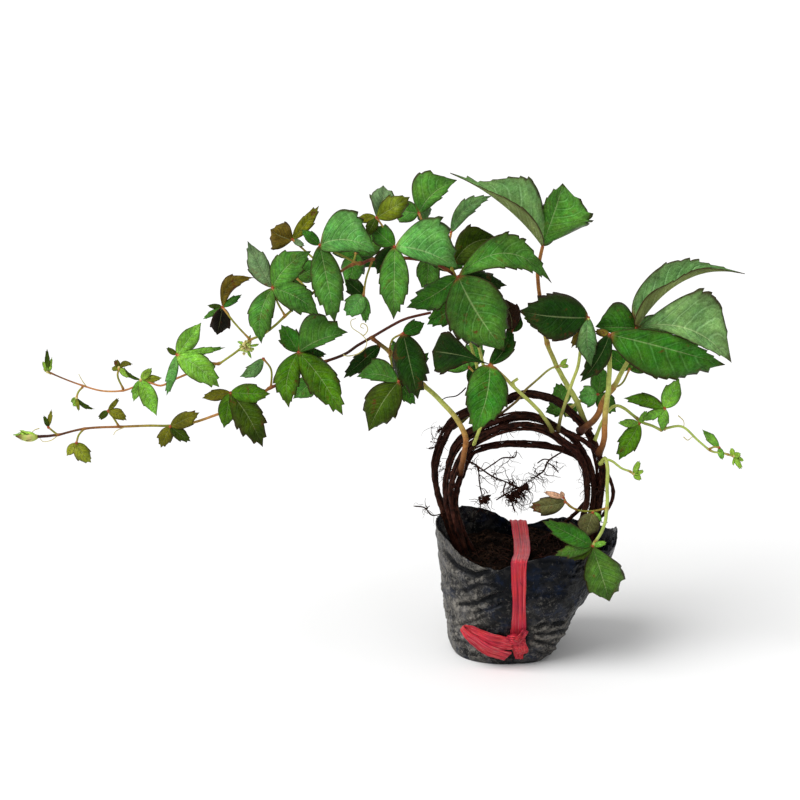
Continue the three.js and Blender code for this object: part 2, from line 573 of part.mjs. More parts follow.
const LOWER_VINE = {
  stems: [
    [2.4, 1.7, [[-39.5, 103, -4], [-38.8, 107, -9], [-37.2, 115, -14], [-36.2, 124.2, -17], [-38, 130, -15],
      [-43, 138, -11], [-53.3, 149.2, -6], [-66, 160.5, -2], [-82.2, 176.7, 2], [-92, 184.5, 2]]],
    [1.3, 1.5, [[-57, 200, -1], [-71.3, 196.6, 1], [-80.3, 192.4, 2], [-91.8, 185.6, 2], [-100.8, 180.5, 1],
      [-107.8, 175.6, 0], [-123, 169.6, -2], [-134.9, 164.5, -4], [-143, 159.4, -5], [-155, 154.2, -6]]],
    [1.4, 1.1, [[-154, 154.6, -6], [-165.4, 147, -8], [-186.5, 138.5, -9], [-200, 134, -9], [-213.4, 132.2, -8],
      [-225.4, 132.2, -7], [-242.3, 131.6, -6], [-265, 130.4, -5], [-280.7, 126.6, -5]]],
    [1.1, 1.6, [[-279, 127, -5], [-286.7, 126, -5], [-294, 125.6, -5]]],
    [1.7, 0.8, [[-292.5, 125.7, -5], [-299, 125.8, -5], [-306, 126.2, -5]]],
  ],
  leaves: [
    [[[-280.7, 126.5, -5], [-283, 129, -6], [-286, 131.5, -7]], [[-289.4, 138.5, -8, 3], [-284.2, 142, -7, 3]]],
    [[[-265, 130.4, -5], [-267.5, 126.5, -7], [-269.8, 122.2, -8]],
      [[-275.8, 113.5, -9, 5.5], [-261.3, 109.6, -10, 8.5, 0, 14, 0, -1]]],
    [[[-244.4, 132, -6], [-247.5, 137, -7], [-250, 141.3, -8]],
      [[-257, 136.5, -8, 3.4], [-239.6, 135, -10, 6, 0, 24], [-243.6, 149.4, -8, 3.4]]],
    [[[-209, 132.4, -8], [-211, 135, -11], [-213.4, 133.5, -14]],
      [[-219, 119.6, -16, 8], [-196.2, 139.4, -14, 9, 0, 20], [-201, 122.6, -15, 7, 0, 24]]],
    [[[-165.4, 147, -8], [-171, 149.5, -13], [-177.6, 150.7, -17]],
      [[-181.1, 130.2, -18, 10], [-194.6, 149.4, -14, 5.5], [-153.5, 151, -21, 11, 1], [-158.3, 119, -24, 17, 2, 14, 0, 2]]],
    [[[-153, 155, -6], [-151, 164, -4], [-156.5, 171, -3]], [[-172, 162, -4, 6.5]]],
    [[[-121, 170.3, -2], [-127, 176, -10], [-136.5, 176.3, -17]],
      [[-107, 188, -19, 17, 2], [-142, 142.6, -21, 15, 2, 14, 0, -4], [-110.2, 138, -25, 19, 3, 14, 0, 2],
        [-147, 193, -12, 13, 0, 20], [-119, 175, -10, 7, 0, 20]]],
    [[[-92, 184.5, 2], [-90, 182.5, 2], [-87.5, 180.5, 2]], [[-110, 160.5, 2, 11, 0, 18]]],
    [[[-82.2, 176.7, 2], [-80, 184, -6], [-73.8, 187.6, -14]],
      [[-64.6, 148, -21, 21, 2], [-60.5, 194, -9, 10, 0, 20]]],
    [[[-82.2, 176.7, 2], [-80, 167, -8], [-76.4, 158.7, -17]],
      [[-94, 128.4, -20, 22, 2, 14, 0, -2], [-101.8, 161, -14, 14, 2, 14, 0, -3, -0.4], [-66, 144, -8, 9]]],
    [[[-62, 157, -3], [-66, 160, 8], [-72, 164, 16]],
      [[-86, 152, 20, 12, -2], [-80, 184, 22, 12, -3], [-58, 176, 22, 12, -3]]],
    [[[-123, 169.6, -2], [-124, 165, 6], [-127, 160, 12]],
      [[-140, 148, 16, 14, -2], [-112, 150, 16, 13, -2], [-132, 178, 18, 14, -2]]],
  ],
};

const FRONT_SHOOT = {
  stems: [
    [1.7, 1.3, [[16, 128, -5], [14.5, 131.5, -10], [7.7, 141.2, -12], [0, 148.8, -16], [-6.4, 154.6, -20],
      [-15.4, 163.6, -26], [-21.8, 168.7, -31]]],
    [1.5, 1.2, [[-7, 155.2, -20], [-8, 158, -20], [-4.8, 160.4, -20]]],
  ],
  leaves: [
    [[[-19, 166.5, -29], [-21.8, 168.7, -31]],
      [[-32.7, 127.8, -39, 25, 3, 14, 0, 3], [-57, 176, -18, 25, 3, 30, 0, -2], [-9, 192, -13, 12, 0, 20, 0, -3]]],
    [[[-21, 168.5, -29], [-13, 180, -17], [-8.6, 188.5, -12]], [[-20, 207, -9, 13, 0, 16, 0, -3]]],
  ],
};

const BUD_SHOOT = {
  stems: [
    [1.1, 0.8, [[-21, 132.5, -2], [-16.7, 137.8, 2], [-5.1, 147.4, 3], [-0.6, 153.3, 3], [4.5, 157.8, 2],
      [15.4, 166.8, 1], [19, 167.6, 1], [23.7, 168.4, 1]]],
  ],
  leaves: [[[[19, 167.6, 1], [20.5, 168.2, 1]], [[25, 172.5, 0, 3], [26, 168, 2, 3]]]],
};

const CROWN_SHOOT = {
  stems: [
    [2.5, 1.9, [[38, 129, 10], [34.2, 137, 12], [30.1, 147.6, 12], [25, 156, 12], [17.9, 168.7, 12]]],
    [1.9, 1.4, [[18.8, 167, 12], [12.8, 181.5, 12], [9.5, 198, 12], [8.2, 210, 12], [7, 224.5, 11], [9.9, 239.5, 8]]],
  ],
  leaves: [
    [[[7.6, 229, 10], [9.9, 240, 8]],
      [[-44.4, 285, -4, 22, 8, 20, 0, -11], [22.6, 277, 4, 29, -1, 12, 0, 0, -0.5], [30, 252, 34, 14, -3, 14]]],
    [[[12.8, 181.5, 12], [13, 186, 18], [15, 192, 24]],
      [[34, 197, 30, 12, -3], [-2, 200, 30, 12, -3], [16, 208, 36, 11, -3]]],
  ],
};

const DARK_SHOOT = {
  stems: [
    [1.5, 1.2, [[19.2, 128.5, -4], [20.5, 136, -9], [23.7, 146.3, -9], [26.9, 155.9, -9], [31.4, 168.7, -9],
      [33, 180, -9], [37.6, 197, -10]]],
  ],
  leaves: [
    [[[36.5, 192, -10], [37.6, 197, -10]],
      [[-4.2, 200.4, -16, 27, 4, 14, 0, -3], [40.4, 167, -17, 12, 2, 24, -20, -3], [27, 178.5, -4, 7]]],
  ],
};

const LONG_SHOOT = {
  stems: [
    [2.6, 1.9, [[43.5, 115.5, -1], [45.6, 119.5, -6], [46.8, 124, -9], [47.6, 140, -9], [49.2, 152, -9], [50, 164, -9],
      [50.2, 172, -9]]],
    [1.9, 1.3, [[50.1, 170, -9], [50.3, 180, -10], [50.1, 186.8, -12]]],
  ],
  leaves: [
    [[[50.2, 183, -11], [50.1, 187, -12]],
      [[119, 168, -18, 27, 4, 14, 0, 2, -0.15], [32.4, 158.4, -14, 14, 1, 20, 0, 2], [41, 189, -8, 5]]],
  ],
};

const RIGHT_SHOOT = {
  stems: [
    [2.9, 1.8, [[32, 128.5, -1], [36, 131.5, 3], [42.4, 137.5, 4], [46.8, 148, 3], [52, 154.4, 2], [57.7, 164.8, 2]]],
    [1.8, 1.3, [[57, 163.6, 2], [62.5, 174, 2], [66.2, 190.6, 1]]],
  ],
  leaves: [
    [[[65.4, 186, 1], [66.2, 190.8, 1]],
      [[129.5, 226.1, -6, 20, 6, 26, 10, 17], [123.5, 172, 4, 34, 4, 10, 0, 8, 0.5],
        [41.5, 191.5, 2, 20, 2, 16, 0, 0, -0.6], [84, 206, 36, 20, -4, 14]]],
    [[[52, 154.4, 2], [58, 158, 12], [62, 166, 20]],
      [[80, 174, 26, 12, -3], [46, 178, 26, 12, -3], [66, 190, 32, 11, -3]]],
  ],
};

const SIDE_TRAILER = {
  stems: [
    [1.4, 1.1, [[41, 123, 7], [46, 135, 14], [50.4, 142.3, 14], [54.5, 144.3, 12], [59.3, 142.3, 10], [69.7, 134.3, 8],
      [76, 132, 7], [81.7, 129.2, 6]]],
    [1.1, 0.8, [[80.5, 129.8, 6], [85.7, 131, 5], [92, 132, 4], [96, 130.3, 3], [102.5, 124, 2], [112, 116.6, 0],
      [117, 116, 0], [124, 114, 0]]],
  ],
  leaves: [
    [[[66.5, 137, 9], [67.5, 135, 6], [68.1, 133.5, 3]],
      [[55, 133.7, 2, 5.5], [72.6, 141.3, 2, 4], [55.3, 111.6, -1, 12, 1]]],
    [[[83, 129.6, 6], [84.6, 136, 3], [83.3, 142.7, 1]],
      [[92, 160.4, -1, 12, 1], [58.4, 148.3, -1, 9, 1, 16, 0, -2], [69.5, 135, 0, 6], [81.5, 128.4, -2, 7]]],
    [[[110, 118.2, 0], [113, 119.5, -1], [116, 119, -1]], [[106, 130, -2, 5.5], [118, 111.5, 0, 4]]],
    [[[121, 115, 0], [124.5, 113.8, 0]], [[129.6, 106, -1, 3.4], [129, 115.5, 0, 4], [123, 119, 0, 3.4], [131, 111, 1, 3]]],
  ],
};

const HANGING_SHOOT = {
  stems: [
    [1.6, 1.2, [[44.6, 109, 0], [47.6, 112.6, -4], [48.9, 107, -8], [48.9, 100.8, -9], [48.6, 94.4, -9], [48.9, 88, -11],
      [48.3, 81.5, -15], [47.9, 76.4, -22], [46, 70, -33], [42.8, 64.2, -42], [39.9, 60.1, -47]]],
    [1.1, 0.8, [[47.8, 112, -5], [51.5, 111, -8], [57.6, 106.5, -9], [62.7, 104.6, -9], [65, 102.5, -9]]],
  ],
  leaves: [
    [[[41.5, 62.2, -45], [39.9, 60.1, -47]],
      [[10, 75.5, -56, 13, 2, 20], [16.9, 54.6, -58, 8], [26.5, 52, -52, 9, 0, 20], [50.5, 24.4, -44, 21, 1, 10, 0, 0, 0.1],
        [48.6, 62.2, -45, 4]]],
    [[[48.3, 82.5, -14], [39.6, 80.9, -17], [30.6, 81.6, -18], [23.6, 86.4, -20]], [[1.6, 83.6, -22, 12, 0, 20, 0, 1]]],
    [[[41, 81, -17], [40, 80, -19]], [[35, 65, -24, 14, 0, 16], [45.6, 74.6, -21, 5]]],
    [[[30.6, 81.6, -18], [26, 84, -19], [22.5, 89, -20]], [[10.5, 92.5, -20, 4], [21, 93, -19, 3]]],
    [[[62.7, 104.6, -9], [64.5, 103.2, -9]], [[68.2, 111.2, -9, 4], [69.4, 99.8, -9, 4], [71, 105, -8, 3]]],
  ],
};

const BACK_SHOOT = {
  stems: [[1.5, 1.1, [[25, 139, 13], [26, 142, 19], [31, 146, 24], [38, 150, 26], [44, 151, 26]]]],
  leaves: [
    [[[40, 150.4, 26], [43, 151, 25]], [[31.5, 149, 22, 13, 0, 12], [54, 140, 24, 12, -2], [46, 168, 30, 12, -2]]],
    [[[27, 143, 21], [24, 145, 25]], [[11.5, 140, 26, 10, -1], [30, 136, 26, 10, -1], [18, 158, 32, 12, -2]]],
  ],
};

const BEHIND_SHOOT = {
  stems: [
    [1.7, 1.1, [[-44, 131, 9], [-37, 136, 15], [-29, 146, 20], [-28, 160, 24], [-33, 180, 26], [-40, 200, 26]]],
  ],
  leaves: [
    [[[-38.6, 196, 26], [-41, 204, 27]],
      [[-60, 193, 32, 14, -3], [-25, 218, 32, 14, -3], [-22, 190, 34, 14, -3], [-52, 222, 38, 12, -3]]],
    [[[-28, 160, 24], [-30, 163, 30], [-34, 167, 34]],
      [[-54, 175, 36, 14, -3], [-22, 152, 36, 13, -3], [-28, 186, 42, 13, -3]]],
  ],
};

// The finished plant: [node, shoot, colour]
const SHOOTS = [
  ['vine_upper', UPPER_VINE, 0x3f7a34],
  ['vine_lower', LOWER_VINE, 0x356b2c],
  ['shoot_front', FRONT_SHOOT, 0x3c7431],
  ['shoot_bud', BUD_SHOOT, 0x7a6a34],
  ['shoot_crown', CROWN_SHOOT, 0x4c7d44],
  ['shoot_dark', DARK_SHOOT, 0x2f5226],
  ['shoot_long', LONG_SHOOT, 0x336b35],
  ['shoot_right', RIGHT_SHOOT, 0x43804a],
  ['trailer_right', SIDE_TRAILER, 0x5f9a35],
  ['shoot_hanging', HANGING_SHOOT, 0x6a9140],
  ['shoot_back', BACK_SHOOT, 0x4d7d33],
  ['shoot_behind', BEHIND_SHOOT, 0x35602b],
];

const plant = new THREE.Group();
const hoop = hoopBody(0);
const hoopRoom = hoopBody(GAP);
const tieRoom = tieBody(GAP);
const bag = clearOf(bagShell(), [tieRoom]);
const soil = clearOf(soilBody(), [hoopRoom, tieRoom]);
const tie = joined([tieBody(0), tieKnot()]);
plant.add(
  meshOf('nursery_bag', bag, [0x1d2126, 0.45, 0]),
  meshOf('soil', soil, [0x241b15, 0.95, 0]),
  meshOf('tie_ribbon', tie, [0xb3263a, 0.4, 0]),
  meshOf('wood_hoop', hoop, [0x3a2a22, 0.85, 0]),
);
for (const [name, parts, colour] of SHOOTS) {
  plant.add(meshOf(name, shoot(parts, [hoopRoom]), [colour, 0.5, 0]));
}

export default plant;
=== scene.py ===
"""The looks of a potted climbing creeper: its bag, soil, ribbon, woody hoop and leafy shoots, as an add-on.

Places on the plant are kept as they are seen from the front, in millimetres across and up and in true depth
behind the bag's middle. seen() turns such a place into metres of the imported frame.
"""

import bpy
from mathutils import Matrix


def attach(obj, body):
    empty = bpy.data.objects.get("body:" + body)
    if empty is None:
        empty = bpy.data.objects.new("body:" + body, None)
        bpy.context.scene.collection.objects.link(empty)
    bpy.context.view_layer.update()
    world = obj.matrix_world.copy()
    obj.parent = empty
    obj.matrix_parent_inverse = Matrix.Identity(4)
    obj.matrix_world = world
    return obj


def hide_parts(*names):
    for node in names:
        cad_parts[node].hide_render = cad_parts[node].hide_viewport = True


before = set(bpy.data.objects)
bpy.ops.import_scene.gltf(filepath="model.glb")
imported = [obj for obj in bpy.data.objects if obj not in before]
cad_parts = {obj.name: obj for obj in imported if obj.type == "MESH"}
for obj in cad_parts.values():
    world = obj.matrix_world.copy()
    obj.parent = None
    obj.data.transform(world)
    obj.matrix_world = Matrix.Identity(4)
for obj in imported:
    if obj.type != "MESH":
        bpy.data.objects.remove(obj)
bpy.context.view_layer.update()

import functools
import random
from math import copysign, cos, exp, hypot, inf, log, pi, radians, sin, sqrt, tanh

import bmesh
import bpy
from bpy.props import FloatProperty, FloatVectorProperty, IntProperty, PointerProperty
from mathutils import Quaternion, Vector
from mathutils.geometry import interpolate_bezier
from mathutils.noise import noise, voronoi

bl_info = {
    "name": "Potted Creeper Builder",
    "version": (1, 0, 0),
    "blender": (4, 5, 0),
    "location": "View3D > Sidebar > Creeper",
    "description": "Builds the bag, the woody hoop and the leafy shoots of a potted climbing creeper",
    "category": "Add Mesh",
}

MM = 0.001
# The bounds of a random turn
ANY_TURN = (0, 6.28)

# The eye that the plant's places are seen by
EYE_FALL = radians(15)
EYE_DISTANCE = 1500 * MM
AIM_ACROSS = -75.6 * MM
AIM_UP = 147.6 * MM
PICTURE_WIDTH = 480 * MM
SENSOR_WIDTH = 36
SEEN_UP = Vector((0, sin(EYE_FALL), cos(EYE_FALL)))
SEEN_AWAY = Vector((0, cos(EYE_FALL), -sin(EYE_FALL)))
EYE = Vector((AIM_ACROSS, 0, 0)) + AIM_UP * SEEN_UP - EYE_DISTANCE * SEEN_AWAY

# The bag, in millimetres
BAG_HEIGHT = 72
BAG_FLOOR = 2.4
BASE_HALF = (33.5, 41)
RIM_HALF = (54.5, 50)
BASE_CENTRE = -11.5
RIM_CENTRE = -0.5
SOIL_TOP = 59
GAP = 0.3
# How far the torn rim rises above the bag's height, at even turns round it
RIM_RISE = [2, -4, -5, -6, -11, -1, 5, 5, 7, 4, -3, -8, -2, 2, -1, -3]
TIE_SIDE = -6.6
TIE_THICK = 1.1
UNDER_SIDE = -5.2
UNDER_WIDTH = 7
PINCH = 3.2
CREASE = 0.8
# How far the half-filled film hangs in at the right and at the front of its foot
SLACK = 9
TUCK = 9
DEEPEST_FOLD = 1.6
# Creases of two sizes: how far apart and how high, in millimetres, and how sharp
CREASES = ((19, 0.7, 0.1), (10, 0.4, 0.12))

# Folds of the film on its front, as seen: places across and up, depth and half width
FILM_FOLDS = [
    ([(-52, 60), (-42.5, 48.3), (-31.3, 42), (-18.3, 46.7)], 1.5, 1.5),
    ([(-46, 66), (-38, 55), (-30, 49), (-20, 46)], -1, 2.4),
    ([(-40, 25), (-31, 25.5), (-23.3, 28.3), (-9.2, 32.5)], 1.3, 1.4),
    ([(-44, 34), (-36, 33), (-28, 37), (-18, 36)], 0.8, 1.2),
    ([(-30, 20), (-22, 22), (-12, 26)], 0.8, 1),
    ([(0, 9), (10, 13), (22, 14)], 0.9, 1.1),
    ([(0, 7), (10, 7), (20, 8.5), (29, 9)], 1, 1.2),
    ([(1, 5), (9, 2), (18, 1), (24, 3)], 1, 1.2),
    ([(0, 3.5), (5, -3), (12, -6)], 0.9, 1.1),
    ([(1, 30), (12, 31), (24, 33), (33, 30)], 0.7, 1),
    ([(42, 36), (38, 30), (30, 20), (26, 13)], 0.8, 1.4),
    ([(2, 50), (14, 52), (28, 50)], 0.6, 1.1),
    ([(3, 43), (16, 44), (30, 42), (42, 45)], 0.6, 1),
    ([(-50, 44), (-42, 40), (-34, 30), (-28, 22)], 0.7, 1.2),
    ([(-44, 12), (-34, 14), (-24, 18)], 0.7, 1.1),
    ([(-42, 4), (-30, 0), (-20, -4)], 0.7, 1.1),
]
# Pleats that spread to the right from the knot: half width, then heading in degrees, how long and how deep
PLEAT_HALF = 1.1
PLEATS = [(-30, 12, 0.6), (-16, 18, 0.8), (-3, 24, 0.7), (10, 28, 0.9), (23, 28, 0.8), (37, 24, 0.7),
          (52, 18, 0.5)]


def pleat(heading, length, depth):
    """A straight fold of the film that leaves the knot."""
    across, up = cos(radians(heading)), sin(radians(heading))
    return [(5 * across, 1 + 5 * up), (2 + length * across, 1 + length * up)], depth, PLEAT_HALF


FILM_FOLDS += [pleat(*numbers) for numbers in PLEATS]

# The plant's shoots. A stem is its root and tip radius, its points and its tints from root to tip. A leaf
# is its stalk's points up to the joint, its leaflets and their tints. A leaflet is its tip's place, its
# breadth, and where they aren't plain its arch, fold, roll, bow, lean, broadest place and taper.
UPPER_VINE = {"stems": [
    (1.7, 1.5, [(-32, 119, -2), (-30.5, 123, -8), (-27, 132, -11), (-22.5, 140, -8), (-24, 160, 4),
        (-30, 185, 6), (-38, 205, 0), (-42, 221, -8), (-54, 229, -14), (-71, 232.6, -17), (-92, 232, -18),
        (-99.6, 229, -18)], "pale pale red red"),
    (1.5, 1.1, [(-98, 230, -18), (-104.5, 228.7, -18), (-115, 222, -20), (-130, 210, -21),
        (-144.5, 198, -22), (-151, 192, -22), (-158, 186.8, -22), (-165.4, 183.7, -22),
        (-172.4, 177.6, -21), (-184.3, 169, -20)], "red olive olive"),
    (1.2, 0.8, [(-183, 170, -20), (-194, 166.7, -18), (-210, 160.4, -14), (-219, 156.2, -12),
        (-227, 158, -10), (-241.6, 153.3, -7), (-253.6, 153, -6), (-265.9, 156.2, -5), (-283.5, 163, -4),
        (-287.4, 165, -4)], "olive rust flesh flesh umber"),
], "leaves": [
    ([(-285, 163.4, -4), (-287.1, 164.4, -4)], [(-287.4, 178.4, -5, 3.6, 0, 34),
        (-284.2, 173.2, -3, 2.6, 0, 34), (-290, 171, -5, 2.8, 0, 34), (-284.2, 168.4, -2, 2.4, 0, 30),
        (-289.4, 167, -3, 2.4, 0, 30)], "olive young young young lemon"),
    ([(-265.9, 155.4, -5), (-268.6, 152.4, -7), (-269.7, 148.9, -9)],
        [(-258.5, 142.2, -8, 3, 0, 30, 0, -1.6), (-273.2, 146.2, -9, 3, 0, 24),
        (-271.4, 143.4, -10, 3, 0, 24), (-268.3, 140.8, -12, 2.6, 0, 30)], "olive young young lemon"),
    ([(-241.6, 154.2, -7), (-245, 162, -8), (-244.2, 167.1, -9)], [(-236, 169, -10, 3.8, 0, 28, 0, 1.5),
        (-248.8, 165.8, -9, 3.4, 0, 24), (-237.8, 160.8, -10, 4.4, 0, 24), (-246.4, 171.8, -9, 3.8, 0, 24)],
        "moss lemon young moss"),
    ([(-232, 157, -9), (-231.5, 158.4, -10), (-231.1, 159.8, -10)], [(-235.8, 146.6, -11, 6.4, 0, 24),
        (-221.2, 138.2, -14, 10.5, 1), (-224.4, 166.8, -10, 5.4, 0, 24), (-218.2, 161, -9, 5, 0, 24),
        (-241, 167.6, -9, 2.4, 0, 34, 0, 2)], "fresh fresh young lemon olive"),
    ([(-184.3, 169, -20), (-195, 171.2, -22), (-209.5, 174.8, -24)], [(-194.6, 194, -19, 12, 1),
        (-179.8, 179, -16, 4.5, 3, 20), (-184.3, 154.9, -29, 16, 2, 12, 0, 2), (-215.5, 149.8, -26, 6.5),
        (-216, 178.8, -22, 3.5)], "fresh fresh fresh bright olive"),
    ([(-165.4, 183.7, -22), (-174.4, 193.3, -22), (-182, 203.3, -22)], [(-191.5, 204.3, -20, 3.4),
        (-194.2, 196, -20, 3.6), (-163, 221, -18, 10, 0, 30, 20, 7), (-170.5, 211, -21, 4.5),
        (-185.2, 186, -14, 13, 0, 18, -15)], "olive mid brown deep black"),
    ([(-144.5, 198, -22), (-149, 206, -25), (-152, 215, -27)], [(-158.2, 181, -30, 15, 2, 14, 0, -4),
        (-124, 199, -30, 17, 3, 14, 0, 2), (-129, 237, -27, 18, 3, 14, 0, 3),
        (-166.5, 243.5, -20, 13, 0, 26, 15, 1)], "mid mid mid grey"),
    ([(-115, 222, -20), (-128, 233, -12), (-140, 243.8, -10)], [(-123.8, 263.9, -8, 8, 1),
        (-153.5, 250, -8, 19, 0, 18, 0, 1, 0, 0.5), (-133, 240, -14, 4)], "gold brown grey"),
    ([(-100, 229, -18), (-112, 235, -24), (-123.8, 240.6, -29)], [(-134.6, 250, -27, 7),
        (-89.7, 235.7, -34, 26, 3, 14, 0, 5, 0.42, 0.34), (-114, 193.7, -35, 19, 3)], "deep bright mid"),
    ([(-78.4, 233, -17), (-83.4, 247.7, -20), (-89.7, 257, -22)],
        [(-85, 276.5, -16, 15, 1, 14, 10, -1, 0, 0.56), (-69.5, 269.4, -20, 14, 2), (-102.4, 256.2, -18, 6),
        (-95.5, 246, -24, 7)], "grey khaki gold olive"),
    ([(-74, 232.7, -17), (-77, 236, -22), (-78.8, 239.6, -27)], [(-41, 226, -33, 28, 4, 14, 0, 3, 0.55),
        (-79.5, 195.6, -34, 18, 3), (-93, 252, -16, 13, 1), (-90, 223, -24, 13)], "bright mid deep dark"),
    ([(-54, 229, -14), (-58, 244, -5), (-64.3, 259.7, -2)], [(-41.4, 279.6, -2, 20, 2, 14, 0, 3, 0.5),
        (-56, 262, 14, 12, 0, 14, 20), (-82, 262, 10, 14)], "mid mid mid"),
    ([(-92, 232, -18), (-96, 220, -15), (-97.4, 210.4, -14)], [(-108.7, 220, -9, 10),
        (-108, 198, -15, 13, 1), (-96, 193.5, -13, 7)], "dark bright mid"),
    ([(-41, 217, -6), (-41, 219, -12), (-40.8, 221.7, -18)], [(-12.3, 177, -29, 38, 4, 14, 0, -2),
        (-72, 203, -17, 18, 0, 26, 15, 2), (15.6, 217, -15, 22, 3, 18, 0, 15.5, 0.15),
        (-11, 216, -9, 13, 0, 20)], "full deep mid dark"),
    ([(-42, 221, -9), (-45, 226, -4), (-43, 230, -1)], [(-14, 243, 3, 22, 2, 20, 0, 6)], "olive"),
    ([(-41.2, 219.5, -13), (-46.5, 234, -11), (-45, 248, -9)], [(-20, 270, -6, 10, 1, 22, 15, 5)], "blue"),
    ([(-104.5, 228.7, -18), (-103, 232, -6), (-102, 236, 5)], [(-84, 247, 10, 15, -3),
        (-118, 245, 12, 15, -3), (-107, 212, 12, 14, -4), (-87, 226, 20, 11, -3)], "mid deep mid deep"),
    ([(-48, 225.5, -11), (-54, 229, 2), (-58, 234, 12)], [(-34, 229, 22, 15, -3), (-60, 211, 20, 15, -4),
        (-74, 246, 18, 16, -3), (-50, 251, 26, 12, -3)], "deep mid deep mid"),
    ([(-130, 210, -21), (-133, 216, -9), (-138, 221, 0)], [(-122, 230, 6, 14, -2), (-152, 230, 6, 14, -2),
        (-142, 202, 2, 13, -2)], "mid mid deep"),
]}

LOWER_VINE = {"stems": [
    (2.9, 1.9, [(-39.5, 103, -4), (-38.8, 107, -9), (-37.2, 115, -14), (-36.2, 124.2, -17), (-38, 130, -15),
        (-43, 138, -11), (-53.3, 149.2, -6), (-66, 160.5, -2), (-82.2, 176.7, 2), (-92, 184.5, 2)],
        "umber rust pale pale red"),
    (1.3, 1.5, [(-57, 200, -1), (-71.3, 196.6, 1), (-80.3, 192.4, 2), (-91.8, 185.6, 2), (-100.8, 180.5, 1),
        (-107.8, 175.6, 0), (-123, 169.6, -2), (-134.9, 164.5, -4), (-143, 159.4, -5), (-155, 154.2, -6)],
        "red umber red"),
    (1.4, 1.1, [(-154, 154.6, -6), (-165.4, 147, -8), (-186.5, 138.5, -9), (-200, 134, -9),
        (-213.4, 132.2, -8), (-225.4, 132.2, -7), (-242.3, 131.6, -6), (-265, 130.4, -5),
        (-280.7, 126.6, -5)], "rust flesh olive rust umber"),
    (1.1, 1.6, [(-279, 127, -5), (-286.7, 126, -5), (-294, 125.6, -5)], "umber"),
    (1.7, 0.8, [(-292.5, 125.7, -5), (-299, 125.8, -5), (-306, 126.2, -5)], "umber wilted"),
], "leaves": [
    ([(-280.7, 126.5, -5), (-284, 129, -6), (-286.6, 131.2, -7)], [(-289.2, 138.4, -8, 3, 0, 28),
        (-284.8, 142, -7, 3, 0, 28)], "olive moss"),
    ([(-265.1, 130.4, -5), (-268.4, 126.5, -7), (-269.7, 121.9, -8)], [(-275.8, 114, -9, 6),
        (-260.8, 110, -10, 9.6, 0, 10, 0, -1)], "lemon"),
    ([(-244.4, 132, -6), (-247.5, 137, -7), (-250.7, 141.1, -8)], [(-256.4, 136.2, -8, 4.2),
        (-239.6, 135.4, -10, 7.4, 0, 28, 0, 1), (-244.3, 148.6, -8, 3.4, 0, 28)], "olive moss moss"),
    ([(-209, 132.4, -8), (-211, 134, -11), (-213.5, 131.6, -14)], [(-219.4, 119, -16, 9),
        (-196, 140, -14, 10, 0, 16), (-201.2, 122.6, -15, 8, 0, 26)], "moss moss olive"),
    ([(-165.4, 147, -8), (-171, 150, -13), (-177.4, 152, -17)], [(-181.1, 130.4, -18, 11.5, 1),
        (-194.8, 149, -14, 8, 0, 20), (-153.5, 151, -21, 12.5, 1), (-158.3, 119, -24, 18.5, 2, 14, 0, 2)],
        "sap moss sap olive"),
    ([(-153, 155, -6), (-153, 166, -4), (-157.6, 172.4, -3)], [(-172, 161.6, -4, 8, 0, 14, 0, 2)], "blue"),
    ([(-121, 170.3, -2), (-127, 176, -10), (-136.5, 176.3, -17)], [(-107, 188, -19, 20, 2, 14, 0, 2, 0.66),
        (-142, 142.6, -21, 15, 2, 14, 0, -4), (-110.2, 138, -25, 19, 3, 14, 0, 2),
        (-147, 193, -12, 13, 0, 20), (-119, 175, -10, 7, 0, 20)], "full sap sap deep dark"),
    ([(-92, 184.5, 2), (-90, 182.5, 2), (-87.5, 180.5, 2)], [(-110, 160.5, 2, 11, 0, 18)], "dark"),
    ([(-82.2, 176.7, 2), (-80, 184, -6), (-73.8, 187.6, -14)], [(-64.6, 148, -21, 21, 2),
        (-60.5, 194, -9, 10, 0, 20)], "dark deep"),
    ([(-82.2, 176.7, 2), (-80, 167, -8), (-76.4, 158.7, -17)], [(-94, 128.4, -20, 22, 2, 14, 0, -2),
        (-101.8, 161, -14, 14, 2, 14, 0, -3, -0.4), (-66, 144, -8, 9)], "olive mid deep"),
    ([(-62, 157, -3), (-66, 160, 8), (-72, 164, 16)], [(-86, 152, 20, 12, -2), (-80, 184, 22, 12, -3),
        (-58, 176, 22, 12, -3)], "deep mid deep"),
    ([(-123, 169.6, -2), (-124, 165, 6), (-127, 160, 12)], [(-140, 148, 16, 14, -2),
        (-112, 150, 16, 13, -2), (-132, 178, 18, 14, -2)], "mid deep mid"),
]}

FRONT_SHOOT = {"stems": [
    (1.7, 1.3, [(16, 128, -5), (14.5, 131.5, -10), (7.7, 141.2, -12), (0, 148.8, -16), (-6.4, 154.6, -20),
        (-15.4, 163.6, -26), (-21.8, 168.7, -31)], "umber pale pale rust"),
    (1.5, 1.2, [(-7, 155.2, -20), (-8, 158, -20), (-4.8, 160.4, -20)], "pale"),
], "leaves": [
    ([(-19, 166.5, -29), (-21.8, 168.7, -31)], [(-32.7, 127.8, -39, 26, 3, 14, 0, 3, 0, 0.37),
        (-57, 176, -18, 26, 3, 24, 0, -2, 0, 0.76), (-9, 192, -13, 12, 0, 20, 0, -3)], "deep dark dark"),
    ([(-21, 168.5, -29), (-13, 180, -17), (-8.6, 188.5, -12)], [(-17, 209, -9, 13, 0, 16, 0, -3),
        (-3, 199, -8, 9, 0, 16)], "maroon dark"),
]}

